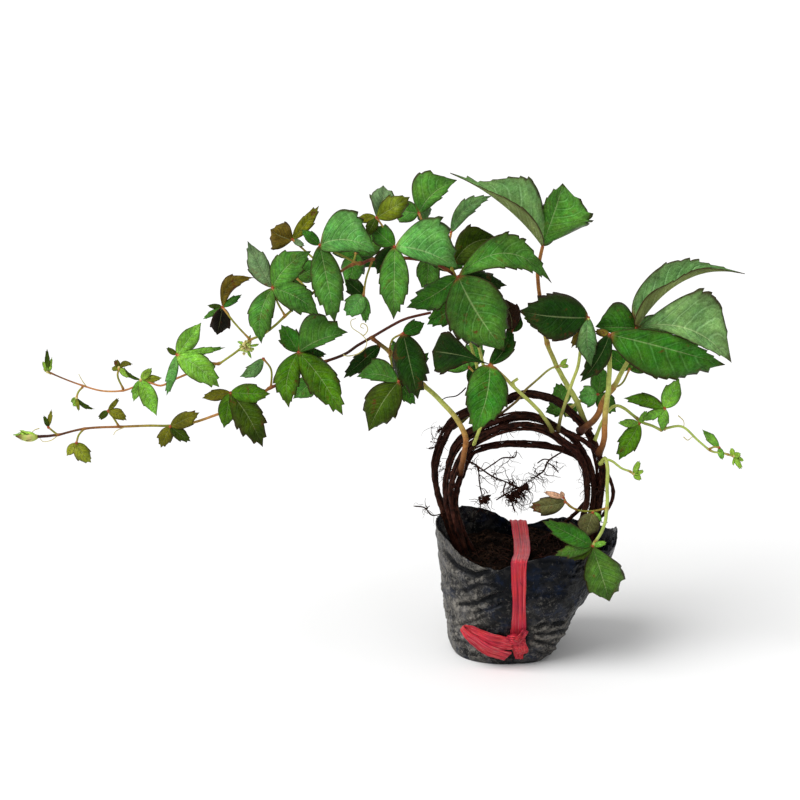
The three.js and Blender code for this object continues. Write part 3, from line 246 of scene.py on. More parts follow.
BUD_SHOOT = {"stems": [
    (1.1, 0.8, [(-21, 132.5, -2), (-16.7, 137.8, 2), (-5.1, 147.4, 3), (-0.6, 153.3, 3), (4.5, 157.8, 2),
        (15.4, 166.8, 1), (19, 167.6, 1), (23.7, 168.4, 1)], "umber wilted pale"),
], "leaves": [
    ([(19, 167.6, 1), (20.5, 168.2, 1)], [(25, 172.5, 0, 3), (26, 168, 2, 3)], "young"),
]}

CROWN_SHOOT = {"stems": [
    (2.5, 1.9, [(38, 129, 10), (34.2, 137, 12), (30.1, 147.6, 12), (25, 156, 12), (17.9, 168.7, 12)],
        "umber pale pale"),
    (1.9, 1.4, [(18.8, 167, 12), (12.8, 181.5, 12), (9.5, 198, 12), (8.2, 210, 12), (7, 224.5, 11),
        (9.9, 239.5, 8)], "pale rust rust"),
], "leaves": [
    ([(7.6, 229, 10), (9.9, 240, 8)], [(-44.4, 285, -4, 40, 8, 45, 60, 5, 0, 0.42, 2.2),
        (22.6, 277, 4, 31, -1, 18, 0, 0, -0.5, 0.6), (19, 264, 30, 12, -3)], "frost mid mid"),
    ([(12.8, 181.5, 12), (13, 186, 18), (15, 192, 24)], [(34, 197, 30, 12, -3), (-2, 200, 30, 12, -3),
        (16, 208, 36, 11, -3)], "mid deep mid"),
]}

DARK_SHOOT = {"stems": [
    (1.5, 1.2, [(19.2, 128.5, -4), (20.5, 136, -9), (23.7, 146.3, -9), (26.9, 155.9, -9), (31.4, 168.7, -9),
        (33, 180, -9), (37.6, 197, -10)], "umber pale pale"),
], "leaves": [
    ([(36.5, 192, -10), (37.6, 197, -10)], [(-4.2, 200.4, -16, 29, 4, 14, 0, 1),
        (40.4, 167, -17, 12, 2, 24, -20, -3), (27, 178.5, -4, 7)], "dark blue brown"),
]}

LONG_SHOOT = {"stems": [
    (2.6, 1.9, [(43.5, 115.5, -1), (45.6, 119.5, -6), (46.8, 124, -9), (47.6, 140, -9), (49.2, 152, -9),
        (50, 164, -9), (50.2, 172, -9)], "umber rust pale pale"),
    (1.9, 1.3, [(50.1, 170, -9), (50.3, 180, -10), (50.1, 186.8, -12)], "pale red"),
], "leaves": [
    ([(50.2, 183, -11), (50.1, 187, -12)], [(120, 168, 2, 28, 3, 14, 0, 1, -0.35),
        (32.4, 158.4, -14, 14, 1, 20, 0, 2), (41, 189, -8, 5)], "deep dark brown"),
]}

RIGHT_SHOOT = {"stems": [
    (2.9, 1.8, [(32, 128.5, -1), (36, 131.5, 3), (42.4, 137.5, 4), (46.8, 148, 3), (52, 154.4, 2),
        (57.7, 164.8, 2)], "umber rust pale"),
    (1.8, 1.3, [(57, 163.6, 2), (62.5, 174, 2), (66.2, 190.6, 1)], "pale red"),
], "leaves": [
    ([(65.4, 186, 1), (66.2, 190.8, 1)], [(129.5, 226.1, -8, 30, 6, 50, -60, 12, 0, 0.22),
        (123.5, 171, -16, 31, 5, 10, 0, 9, 0.6, 0.58), (41.5, 191.5, 2, 20, 2, 16, 0, 0, -0.6),
        (94, 190, 36, 18, -4)], "blue frost deep mid"),
    ([(52, 154.4, 2), (58, 158, 12), (62, 166, 20)], [(80, 174, 26, 12, -3), (46, 178, 26, 12, -3),
        (66, 190, 32, 11, -3)], "mid deep mid"),
]}

SIDE_TRAILER = {"stems": [
    (1.4, 1.1, [(41, 123, 7), (46, 135, 14), (50.4, 142.3, 14), (54.5, 144.3, 12), (59.3, 142.3, 10),
        (69.7, 134.3, 8), (76, 132, 7), (81.7, 129.2, 6)], "pale lime"),
    (1.1, 0.8, [(80.5, 129.8, 6), (85.7, 131, 5), (92, 132, 4), (96, 130.3, 3), (102.5, 124, 2),
        (112, 116.6, 0), (117, 116, 0), (124, 114, 0)], "lime"),
], "leaves": [
    ([(66.5, 137, 9), (67.5, 135, 6), (68.1, 133.5, 3)], [(55, 133.7, 2, 5.5), (72.6, 141.3, 2, 4),
        (55.3, 111.6, -1, 12, 1)], "fresh fresh sap"),
    ([(83, 129.6, 6), (84.6, 136, 3), (83.3, 142.7, 1)], [(92, 160.4, -1, 12, 1),
        (58.4, 148.3, -1, 9, 1, 16, 0, -2), (69.5, 135, 0, 6), (81.5, 128.4, -2, 7)],
        "fresh sap fresh fresh"),
    ([(110, 118.2, 0), (113, 119.5, -1), (116, 119, -1)], [(106, 130, -2, 5.5), (118, 111.5, 0, 4)],
        "fresh"),
    ([(121, 115, 0), (124.5, 113.8, 0)], [(129.6, 106, -1, 3.4), (129, 115.5, 0, 4), (123, 119, 0, 3.4),
        (131, 111, 1, 3)], "young"),
]}

HANGING_SHOOT = {"stems": [
    (1.6, 1.2, [(44.6, 109, 0), (47.6, 112.6, -4), (48.9, 107, -8), (48.9, 100.8, -9), (48.6, 94.4, -9),
        (48.9, 88, -11), (48.3, 81.5, -15), (47.9, 76.4, -22), (46, 70, -33), (42.8, 64.2, -42),
        (39.9, 60.1, -47)], "pale lime lime"),
    (1.1, 0.8, [(47.8, 112, -5), (51.5, 111, -8), (57.6, 106.5, -9), (62.7, 104.6, -9), (65, 102.5, -9)],
        "lime"),
], "leaves": [
    ([(41.5, 62.2, -45), (39.9, 60.1, -47)], [(10, 75.5, -56, 13, 2, 20), (16.9, 54.6, -58, 8),
        (26.5, 52, -52, 9, 0, 20), (50.5, 26, -44, 23, 1, 10, 0, 0, 0.1, 0.56), (48.6, 62.2, -45, 4)],
        "deep fern olive fern fresh"),
    ([(48.3, 82.5, -14), (39.6, 80.9, -17), (30.6, 81.6, -18), (23.6, 86.4, -20)],
        [(1.6, 83.6, -22, 12, 0, 20, 0, 1)], "wilted"),
    ([(41, 81, -17), (40, 80, -19)], [(35, 65, -24, 14, 0, 16), (45.6, 74.6, -21, 5)], "wilted fresh"),
    ([(30.6, 81.6, -18), (26, 84, -19), (22.5, 89, -20)], [(10.5, 92.5, -20, 4), (21, 93, -19, 3)], "pink"),
    ([(62.7, 104.6, -9), (64.5, 103.2, -9)], [(68.2, 111.2, -9, 4), (69.4, 99.8, -9, 4), (71, 105, -8, 3)],
        "young"),
]}

BACK_SHOOT = {"stems": [
    (1.5, 1.1, [(25, 139, 13), (26, 142, 19), (31, 146, 24), (38, 150, 26), (44, 151, 26)], "pale"),
], "leaves": [
    ([(40, 150.4, 26), (43, 151, 25)], [(31.5, 149, 22, 13, 0, 12), (54, 140, 24, 12, -2),
        (46, 168, 30, 12, -2)], "bright mid mid"),
    ([(27, 143, 21), (24, 145, 25)], [(11.5, 140, 26, 10, -1), (30, 136, 26, 10, -1),
        (18, 158, 32, 12, -2)], "mid"),
]}

BEHIND_SHOOT = {"stems": [
    (1.7, 1.1, [(-44, 131, 9), (-37, 136, 15), (-29, 146, 20), (-28, 160, 24), (-33, 180, 26),
        (-40, 200, 26)], "umber pale olive"),
], "leaves": [
    ([(-38.6, 196, 26), (-41, 204, 27)], [(-60, 193, 32, 14, -3), (-25, 218, 32, 14, -3),
        (-22, 190, 34, 14, -3), (-52, 222, 38, 12, -3)], "deep mid deep mid"),
    ([(-28, 160, 24), (-30, 163, 30), (-34, 167, 34)], [(-54, 175, 36, 14, -3), (-22, 152, 36, 13, -3),
        (-28, 186, 42, 13, -3)], "mid deep mid"),
]}

# The hoop's strands and its aerial roots: how thick, and their points. The crumbs in them: place and size.
STRANDS = [
    (4.6, [(-40, 52, 6), (-45, 68, 7), (-50, 82, 8), (-53.8, 95, 8), (-54.6, 103.3, 8), (-53.4, 112, 8),
        (-49.2, 124, 8), (-43, 134, 6), (-34, 140, 4), (-20, 143, 5), (-12.8, 146, 7), (-6.7, 149, 9),
        (1.7, 150.5, 10), (10, 149.3, 11), (17.5, 147, 11), (25, 141.5, 11), (32, 135, 10), (38, 128, 9),
        (42, 119, 8), (45, 108, 7), (45.4, 98, 4), (44.2, 88, 1.5), (42.4, 76, 1), (39, 54, 1)]),
    (4.4, [(-38, 52, 0), (-43, 68, 1), (-47.5, 86, 2), (-48, 99, 2), (-46.2, 110, 2), (-42.5, 119, 2),
        (-36, 126, 1), (-27, 131, -1), (-18, 134.5, -2), (-8, 137.8, -2), (3, 138, -2), (12, 135, -2),
        (20, 130.5, -1), (28, 124.5, 1), (34, 117, 2), (38.5, 107, 2), (40.5, 97, 2), (40.5, 86, 1),
        (38, 72, 0), (35, 54, 0)]),
    (4.2, [(-34, 52, -7), (-39, 66, -7), (-43.5, 80, -6), (-45, 92, -6), (-43.5, 103, -6),
        (-40, 112, -5), (-34.5, 120, -4), (-26, 126, -4), (-16, 130.5, -5), (-5, 132.8, -6),
        (6, 132, -6), (15, 128.5, -6), (23, 122.5, -5), (30, 117.5, -4), (34.5, 109, -4), (36.3, 98, -4),
        (36.6, 88, -4), (34, 76, -5), (31, 56, -5)]),
    (3.4, [(-30, 54, -3), (-38, 70, -5), (-42, 84, -4.5), (-41, 95, -3), (-38, 103, -2), (-35, 110, -1),
        (-31, 116, 0), (-20, 119.6, 2), (-7.5, 120.9, 3), (5, 120.7, 3), (17.5, 119.6, 3), (26, 117, 2),
        (32, 114, 1), (37, 108, 0.5), (40, 100, 0.5)]),
    (3.6, [(10, 132, -4), (18, 130.5, -3), (28.3, 126.5, -2), (37, 121.5, -2), (43.5, 115, -1),
        (45.8, 106, 0), (44.6, 94, 1), (42.8, 82, 0), (40, 66, -2), (37, 54, -3)]),
    (2.6, [(43.5, 113, 7), (49, 103, 6), (52.4, 92, 5), (50, 84, 4), (45, 77, 2.5)]),
    (2.8, [(37, 88, -2), (30, 80, 2), (23, 74, 8), (16, 68, 14), (12, 60, 16)]),
]

ROOTS = [
    (1.8, [(-41, 110.5, -5), (-33.3, 110.3, -7), (-27.5, 106.7, -8), (-20, 101.7, -9), (-11.7, 98.3, -8),
        (-3, 94, -6)]),
    (1.4, [(-30, 108.5, -7), (-27.5, 105, -8), (-20, 109, -9), (-14, 112.8, -10), (-6.7, 113.4, -10),
        (-5.6, 117.4, -10)]),
    (1.4, [(-28.5, 107.5, -7), (-27.9, 98, -7), (-26.5, 91, -6), (-25.5, 86, -6)]),
    (1.4, [(-12, 98.5, -8), (-13.5, 92, -10), (-9, 87, -10), (-6.7, 80.5, -9)]),
    (1.4, [(-6, 95, -7), (-14, 90, -4), (-18, 87.5, -2)]),
    (1.6, [(23, 122, -4), (22, 117, -6), (18.3, 114.5, -7), (13.3, 110.8, -8), (10.5, 105, -8),
        (4.5, 100.8, -8)]),
    (1.3, [(14.5, 111.6, -7.6), (10.5, 112, -9), (6.7, 109.6, -10)]),
    (1.3, [(13, 110, -8), (16.7, 107.5, -9), (19.6, 104, -10)]),
    (1.3, [(-45, 131, 6), (-48, 131.5, 2), (-54, 128.5, -1)]),
    (1.3, [(-48, 123.5, 7), (-53.5, 119.8, 3), (-58.5, 118.6, 1)]),
    (1.4, [(-48, 80, 6), (-56.3, 78.5, 2), (-61, 83, 0), (-67.5, 84, -1)]),
]

CRUMBS = [
    ((-1.2, 94, -6), (4.6, 4.6, 5.4)),
    ((-7, 90, -8), (5, 4, 3.6)),
    ((-25.5, 87.8, -6), (5, 3.6, 3.2)),
]


# Colours

def colour(code):
    """A colour's linear red, green and blue from its usual six digits."""
    shares = [((code >> shift) & 255) / 255 for shift in (16, 8, 0)]
    return tuple(share / 12.92 if share <= 0.04045 else ((share + 0.055) / 1.055) ** 2.4 for share in shares)


def tint_table(*rows):
    """Linear tints by name. The last number is how far red-brown blotches spread on one."""
    return {name: (*colour(code), blotched) for name, code, blotched in rows}


# The blue, grey and pale bluish-green tints mix painted sheen, a pale reflected cast, into the leaves' own
# green
LEAF_TINTS = tint_table(
    ("mid", 0x467C26, 0.2), ("bright", 0x569640, 0.1), ("fresh", 0x669E2A, 0.05), ("fern", 0x446A20, 0.4),
    ("full", 0x3E7020, 0.35), ("sap", 0x447205, 0.3), ("deep", 0x306614, 0.3), ("dark", 0x163606, 0.35),
    ("blue", 0x5C8848, 0.08), ("olive", 0x364C04, 0.3), ("frost", 0x6E9A54, 0.08), ("lemon", 0x86901C, 0.2),
    ("moss", 0x6A6A10, 0.5), ("gold", 0x767A0C, 0.6), ("khaki", 0x62720C, 0.2), ("maroon", 0x26180C, 0.6),
    ("grey", 0x5C784C, 0.3), ("young", 0x8CB834, 0.0), ("brown", 0x6B5B12, 0.6), ("wilted", 0x646438, 0.7),
    ("pink", 0xC89A78, 0.4), ("black", 0x17140B, 0.2),
)
STEM_TINTS = tint_table(
    ("pale", 0xB6BE62, 0.1), ("lime", 0xA6B85C, 0.0), ("rust", 0xA06A38, 0.3), ("red", 0x6A3426, 0.3),
    ("umber", 0x3C2118, 0.3), ("olive", 0x8C8E36, 0.2), ("flesh", 0xBE8450, 0.15),
    ("wilted", 0x7C6A3A, 0.3), ("hub", 0x9C4A30, 0.1), ("tendril", 0xC2B676, 0.0),
)
PLAIN = (1.0, 1.0, 1.0, 0.0)


# Places and paths

def seen(place):
    """The frame's place, in metres, of a place that is seen across, up and at a depth, in millimetres."""
    across, up, depth = (MM * value for value in place)
    ray = EYE_DISTANCE * SEEN_AWAY + (up - AIM_UP) * SEEN_UP
    ray.x += across - AIM_ACROSS
    return EYE + ray * ((depth - EYE.y) / ray.y)


def looked_at(place):
    """Where the eye sees one of the frame's places: millimetres across and up."""
    ray = place - EYE
    nearness = EYE_DISTANCE / ray.dot(SEEN_AWAY)
    return (ray.x * nearness + AIM_ACROSS) / MM, (ray.dot(SEEN_UP) * nearness + AIM_UP) / MM


def evenly(places, step):
    """The same way as the places, in even steps."""
    lengths = [0.0]
    for start, stop in zip(places, places[1:]):
        lengths.append(lengths[-1] + (stop - start).length)
    count = max(2, round(lengths[-1] / step))
    even, spot = [], 0
    for number in range(count + 1):
        wanted = lengths[-1] * number / count
        while spot < len(places) - 2 and lengths[spot + 1] < wanted:
            spot += 1
        run = lengths[spot + 1] - lengths[spot]
        even.append(places[spot].lerp(places[spot + 1], (wanted - lengths[spot]) / run if run else 0))
    return even


def smooth_line(points, step):
    """Places a step apart on a smooth line through the points."""
    points = [Vector(point) for point in points]
    if len(points) == 2:
        return evenly(points, step)
    row = [2 * points[0] - points[1], *points, 2 * points[-1] - points[-2]]
    line = []
    for before, start, stop, after in zip(row, row[1:], row[2:], row[3:]):
        spans = ((before, start), (start, stop), (stop, after))
        a, b, c = ((to - since).length ** 0.5 for since, to in spans)
        leave = (a * a * stop - b * b * before + (2 * a * a + 3 * a * b + b * b) * start) / (3 * a * (a + b))
        arrive = (c * c * start - b * b * after + (2 * c * c + 3 * c * b + b * b) * stop) / (3 * c * (c + b))
        line += interpolate_bezier(start, leave, arrive, stop, 17)[:-1]
    return evenly([Vector(place) for place in line] + [points[-1]], step)


def seen_line(points, step):
    """Places in metres, a step in millimetres apart, on a smooth line through points that are seen."""
    return smooth_line([seen(point) for point in points], step * MM)


def square_to(along, wanted):
    """The unit vector nearest to a wanted way that is square to the given one."""
    return (wanted - along * wanted.dot(along)).normalized()


def frames_along(path):
    """Two ways square to the path at each of its places, turned as little as can be."""
    side = None
    for spot in range(len(path)):
        ahead = (path[min(spot + 1, len(path) - 1)] - path[max(spot - 1, 0)]).normalized()
        side = square_to(ahead, ahead.orthogonal() if side is None else side)
        yield side, ahead.cross(side)


def sideways(ways, angle):
    """The way at an angle round a path, from the two ways that are square to it."""
    side, other = ways
    return side * cos(angle) + other * sin(angle)


def way_of(turn, up=0):
    """The way of a turn about the upright, or in the picture."""
    return Vector((cos(turn), sin(turn), up))


def tapering(radius, loss):
    """The radius of a tube, in metres, that loses a share of itself towards the tip."""
    return lambda share, _: radius * (1 - loss * share)


def turn_of(column, columns):
    """The turn at a column of a grid that closes on itself."""
    return 2 * pi * (column % columns) / columns


def ease(value, low, high):
    """0 below low, 1 above high, and smooth between them."""
    share = min(1.0, max(0.0, (value - low) / (high - low)))
    return share * share * (3 - 2 * share)


def between(values, share):
    """A tuple of values at a share of the way along a list of them."""
    spot = share * (len(values) - 1)
    low = min(len(values) - 2, int(spot)) if len(values) > 1 else 0
    high = min(low + 1, len(values) - 1)
    part = spot - low
    return tuple(a + (b - a) * part for a, b in zip(values[low], values[high]))


# Meshes

class Body:
    """One piece's mesh, gathered from small bodies that carry a tint, a surface map and a vein map."""

    def __init__(self):
        self.mesh = bmesh.new()
        self.layers(self.mesh)

    @staticmethod
    def layers(mesh):
        """The mesh's surface map, vein map and tint."""
        return (
            mesh.loops.layers.uv.new("surface"),
            mesh.loops.layers.uv.new("veins"),
            mesh.verts.layers.float_color.new("tint"),
        )

    def add(self, mesh, material=0, under=None):
        """Adds a body. With under, the faces that an added thickness brought take that material."""
        for face in mesh.faces:
            face.material_index = material if under is None or face.tag else under
            face.smooth = True
        holder = bpy.data.meshes.new("holder")
        mesh.to_mesh(holder)
        mesh.free()
        self.mesh.from_mesh(holder)
        bpy.data.meshes.remove(holder)

    def piece(self, name, finishes, slot, *nodes):
        """Makes the object, which rides on the plant's body and stands for the nodes."""
        data = bpy.data.meshes.new(name)
        self.mesh.to_mesh(data)
        self.mesh.free()
        for finish in finishes:
            data.materials.append(materials()[finish])
        made = bpy.data.objects.new(name, data)
        bpy.context.scene.collection.objects.link(made)
        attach(made, "root")
        if nodes:
            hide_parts(*nodes)
        return made


def shaped_grid(rows, columns, place, tint=PLAIN, veins=None):
    """A grid whose every vertex takes its place, tint and vein map by its row and column."""
    mesh = bmesh.new()
    surface, vein_map, tints = Body.layers(mesh)
    bmesh.ops.create_grid(mesh, x_segments=rows, y_segments=columns, size=0.5)
    for face in mesh.faces:
        for loop in face.loops:
            along, across = loop.vert.co.x + 0.5, loop.vert.co.y + 0.5
            loop[surface].uv = along, across
            spot = round(along * rows), round(across * columns)
            loop[vein_map].uv = veins(*spot) if veins else (along, across)
    for vertex in mesh.verts:
        row, column = round((vertex.co.x + 0.5) * rows), round((vertex.co.y + 0.5) * columns)
        vertex[tints] = tint(row, column) if callable(tint) else tint
        vertex.co = place(row, column)
    bmesh.ops.remove_doubles(mesh, verts=mesh.verts, dist=0.001 * MM)
    return mesh


def thicken(mesh, thickness):
    """Gives a surface its thickness on the side away from its faces, and tags the faces that were there."""
    kept = len(mesh.faces)
    bmesh.ops.solidify(mesh, geom=mesh.faces[:], thickness=thickness)
    for number, face in enumerate(mesh.faces):
        face.tag = number < kept


def tube(path, radius, sides, tint=PLAIN):
    """A closed round body along a path. radius gives metres at a share of the way and an angle round it."""
    last = len(path) - 1
    frames = list(frames_along(path))

    def place(row, column):
        spot = min(max(row - 1, 0), last)
        if row in (0, last + 2):
            return path[spot]
        angle = -turn_of(column, sides)
        return path[spot] + sideways(frames[spot], angle) * radius(spot / last, angle)

    def tint_at(row, _):
        return tint(min(max(row - 1, 0), last) / last) if callable(tint) else tint

    return shaped_grid(last + 2, sides, place, tint_at)


def pebble(place, size, draw, tint=PLAIN, detail=1):
    """A small rough lump."""
    mesh = bmesh.new()
    tints = Body.layers(mesh)[2]
    bmesh.ops.create_icosphere(mesh, subdivisions=detail, radius=1)
    turn = Quaternion((draw.random(), draw.random(), draw.random()), draw.uniform(0, 6))
    shift = Vector((draw.uniform(-9, 9), 0, 0))
    for vertex in mesh.verts:
        vertex[tints] = tint
        rough = 1 + 0.45 * noise(vertex.co * 1.7 + shift)
        vertex.co = place + turn @ Vector(c * s * rough for c, s in zip(vertex.co, size))
    return mesh


# Materials

class Finish:
    """A material whose nodes are added one by one to its Principled shader."""

    def __init__(self, name, **fixed):
        self.material = bpy.data.materials.new(name)
        self.material.use_nodes = True
        self.tree = self.material.node_tree
        self.shader = self.tree.nodes["Principled BSDF"]
        for label, value in fixed.items():
            self.shader.inputs[label.replace("_", " ")].default_value = value
        self.place = self.node("TexCoord").outputs["Object"]
        self.base = None

    def node(self, kind, inputs=None, **settings):
        """A node of the material."""
        return add_node(self.tree, kind, inputs, **settings)

    def map(self, name):
        """One of the maps that a body carries."""
        return self.node("UVMap", uv_map=name).outputs["UV"]

    def stretched(self, place, *scale):
        """A place or map, scaled on its axes."""
        return self.node("Mapping", {"Vector": place, "Scale": scale}).outputs[0]

    def group(self, name, inputs):
        """Every output of a node group that is fed the inputs."""
        made = self.node("Group", node_tree=bpy.data.node_groups[name])
        for label, value in inputs.items():
            feed(self.tree, made.inputs[label], value)
        return list(made.outputs)

    def lay(self, share, tint):
        """Lays a colour over the base colour."""
        self.base = mixed(share, self.base, tint)

    def mottle(self, scale, amount):
        """Makes the base colour lighter and darker in clouds of a size."""
        inputs = {"Vector": self.place, "Scale": scale, "Amount": amount, "Colour": self.base}
        self.base = self.group("mottle", inputs)[0]

    def patches(self, scale, cover, edge, where=None):
        """Where patches of a size lie."""
        inputs = {"Vector": where or self.place, "Scale": scale, "Cover": cover, "Edge": edge}
        return self.group("patches", inputs)[0]

    def end(self, roughness, height=None, distance=0.0, strength=0.0):
        """Feeds the shader its colour, its roughness and its bump."""
        feed(self.tree, self.shader.inputs["Base Color"], self.base)
        feed(self.tree, self.shader.inputs["Roughness"], roughness)
        if height is not None:
            bump = self.node("Bump", {"Height": height, "Distance": distance, "Strength": strength})
            feed(self.tree, self.shader.inputs["Normal"], bump.outputs["Normal"])


def feed(tree, socket, value):
    """Links a socket to another, or sets its number or colour."""
    if isinstance(value, bpy.types.NodeSocket):
        tree.links.new(value, socket)
    elif socket.type == "RGBA":
        socket.default_value = (*value, 1)
    else:
        socket.default_value = value


def add_node(tree, kind, inputs=None, **settings):
    """A shader node with its settings and its inputs."""
    made = tree.nodes.new("ShaderNode" + kind)
    for label, value in settings.items():
        setattr(made, label, value)
    for label, value in (inputs or {}).items():
        feed(tree, made.inputs[label], value)
    return made


def tree_of(*values):
    """The node tree that holds the sockets among the values."""
    return next(value.id_data for value in values if isinstance(value, bpy.types.NodeSocket))


def maths(operation, *values, clamp=False):
    """What a maths node makes of the values."""
    inputs = dict(enumerate(values))
    return add_node(tree_of(*values), "Math", inputs, operation=operation, use_clamp=clamp).outputs[0]


def times(first, second, clamp=False):
    """One value times another."""
    return maths("MULTIPLY", first, second, clamp=clamp)


def times_plus(first, second, third, clamp=False):
    """One value times another, plus a third."""
    return maths("MULTIPLY_ADD", first, second, third, clamp=clamp)


def ramp(value, low, high, to_low=0.0, to_high=1.0):
    """Smoothly from to_low to to_high as the value goes from low to high."""
    inputs = {"Value": value, "From Min": low, "From Max": high, "To Min": to_low, "To Max": to_high}
    return add_node(tree_of(value), "MapRange", inputs, interpolation_type="SMOOTHSTEP").outputs["Result"]


def mixed(share, first, second):
    """One colour laid over another."""
    inputs = {0: share, 6: first, 7: second}
    return add_node(tree_of(share, first, second), "Mix", inputs, data_type="RGBA").outputs[2]


def spread(place, scale, detail=3.0, rough=0.55, distortion=0.0):
    """Noise from 0 to 1."""
    inputs = {"Vector": place, "Scale": scale, "Detail": detail, "Roughness": rough, "Distortion": distortion}
    return add_node(tree_of(place), "TexNoise", inputs).outputs["Fac"]


def new_group(name, inputs, outputs):
    """An empty node group and its sockets. An input is given its number, or else the kind of its socket."""
    tree = bpy.data.node_groups.new(name, "ShaderNodeTree")
    for label, given in inputs.items():
        kind = "Float" if isinstance(given, float) else given
        socket = tree.interface.new_socket(label, in_out="INPUT", socket_type="NodeSocket" + kind)
        if isinstance(given, float):
            socket.default_value = given
    for label, kind in outputs.items():
        tree.interface.new_socket(label, in_out="OUTPUT", socket_type="NodeSocket" + kind)
    return tree, tree.nodes.new("NodeGroupInput").outputs, tree.nodes.new("NodeGroupOutput").inputs


def patches_group():
    """Patches: where noise of a size rises above a cover, with soft or sharp edges."""
    inputs = {"Vector": "Vector", "Scale": 100.0, "Cover": 0.4, "Edge": 0.1}
    tree, given, result = new_group("patches", inputs, {"Mask": "Float"})
    coarse = spread(given["Vector"], given["Scale"], 4.0, 0.62, 0.4)
    floor = maths("SUBTRACT", 0.75, times(given["Cover"], 0.5))
    top = maths("ADD", floor, given["Edge"])
    tree.links.new(ramp(coarse, floor, top), result["Mask"])


def mottle_group():
    """Mottle: a colour made lighter and darker in soft clouds and fine grain."""
    inputs = {"Vector": "Vector", "Scale": 80.0, "Amount": 0.3, "Colour": "Color"}
    tree, given, result = new_group("mottle", inputs, {"Colour": "Color"})
    clouds = spread(given["Vector"], given["Scale"], 2.0)
    grain = spread(given["Vector"], times(given["Scale"], 4.0), 3.0, 0.7)
    both = times_plus(grain, 0.45, times(clouds, 0.55))
    swing = times(maths("SUBTRACT", both, 0.5), given["Amount"])
    value = maths("ADD", 1.0, times(swing, 4.0))
    apart = {0: given["Vector"], 1: (0.3, 0.1, 0.2)}
    shifted = add_node(tree, "VectorMath", apart, operation="ADD").outputs[0]
    warmth = maths("SUBTRACT", spread(shifted, given["Scale"], 2.0), 0.5)
    hue = times_plus(times(warmth, given["Amount"]), 0.1, 0.5)
    inputs = {"Hue": hue, "Saturation": 1.0, "Value": value, "Fac": 1.0, "Color": given["Colour"]}
    tree.links.new(add_node(tree, "HueSaturation", inputs).outputs["Color"], result["Colour"])


def wrinkles_group():
    """Wrinkles: the height of crumpled film, flat facets between sharp folds of two sizes."""
    tree, given, result = new_group("wrinkles", {"Vector": "Vector", "Scale": 120.0}, {"Height": "Float"})
    stir = {"Vector": given["Vector"], "Scale": given["Scale"], "Detail": 2.0}
    stirred = add_node(tree, "TexNoise", stir).outputs["Color"]
    shift = add_node(tree, "VectorMath", {0: stirred, 3: 0.008}, operation="SCALE").outputs[0]
    bent = add_node(tree, "VectorMath", {0: given["Vector"], 1: shift}, operation="ADD").outputs[0]
    large = add_node(tree, "TexVoronoi", {"Vector": bent, "Scale": given["Scale"]}).outputs["Distance"]
    finer = times(given["Scale"], 2.7)
    small = add_node(tree, "TexVoronoi", {"Vector": bent, "Scale": finer}).outputs["Distance"]
    tree.links.new(times_plus(small, 0.35, times(large, 0.65)), result["Height"])


def leaf_veins_group():
    """Leaf veins: how much of each vein, of the margin and of the painted shade of the quilting a place
    shows.
    """
    inputs = dict.fromkeys(("Surface", "Veins", "Place"), "Vector")
    outputs = dict.fromkeys(("Midrib", "Side Veins", "Net", "Margin", "Rim", "Panel"), "Float")
    tree, given, result = new_group("leaf_veins", inputs, outputs)
    across = add_node(tree, "SeparateXYZ", {0: given["Surface"]})
    away = maths("ABSOLUTE", times_plus(across.outputs[1], 2.0, -1.0))
    phase = add_node(tree, "SeparateXYZ", {0: given["Veins"]}).outputs[0]
    wander = times(spread(given["Place"], 90.0, 3.0), 0.45)
    turn = maths("FRACT", maths("ADD", phase, wander))
    offset = maths("ABSOLUTE", maths("SUBTRACT", turn, 0.5))
    width = times_plus(away, -0.06, 0.15)
    side = maths("SUBTRACT", 1.0, ramp(offset, 0.0, width))
    fade = ramp(away, 0.45, 0.95, 1.0, 0.1)
    rib = times_plus(across.outputs[0], -0.035, 0.065)
    tree.links.new(ramp(away, 0.0, rib, 1.0, 0.0), result["Midrib"])
    tree.links.new(times(side, fade), result["Side Veins"])
    bent = add_node(tree, "VectorMath", {0: given["Place"], 1: given["Place"]}, operation="ADD").outputs[0]
    net = add_node(tree, "TexVoronoi", {"Vector": bent, "Scale": 270.0}, feature="DISTANCE_TO_EDGE")
    tree.links.new(ramp(net.outputs["Distance"], 0.0, 0.16, 1.0, 0.0), result["Net"])
    fray = times(spread(given["Place"], 210.0, 3.0), 0.09)
    towards_tip = times_plus(fray, 0.6, maths("ADD", across.outputs[0], 0.02))
    edge = maths("MAXIMUM", maths("ADD", away, fray), towards_tip)
    tree.links.new(ramp(edge, 0.93, 1.02), result["Margin"])
    tree.links.new(ramp(edge, 0.6, 1.0), result["Rim"])
    # Panel: 0 at a side vein and 1 between veins, turned into painted shade beside the veins by the leaf
    # finish
    tree.links.new(ramp(offset, 0.1, 0.42), result["Panel"])


def paler(base, saturation, value):
    """A lighter or darker kin of a colour."""
    inputs = {"Hue": 0.5, "Saturation": saturation, "Value": value, "Fac": 1.0, "Color": base}
    return add_node(tree_of(base), "HueSaturation", inputs).outputs["Color"]


def tint_of(finish):
    """The tint that a body carries, and how far blotches spread on it."""
    tint = finish.node("Attribute", attribute_name="tint")
    return tint.outputs["Color"], tint.outputs["Alpha"]


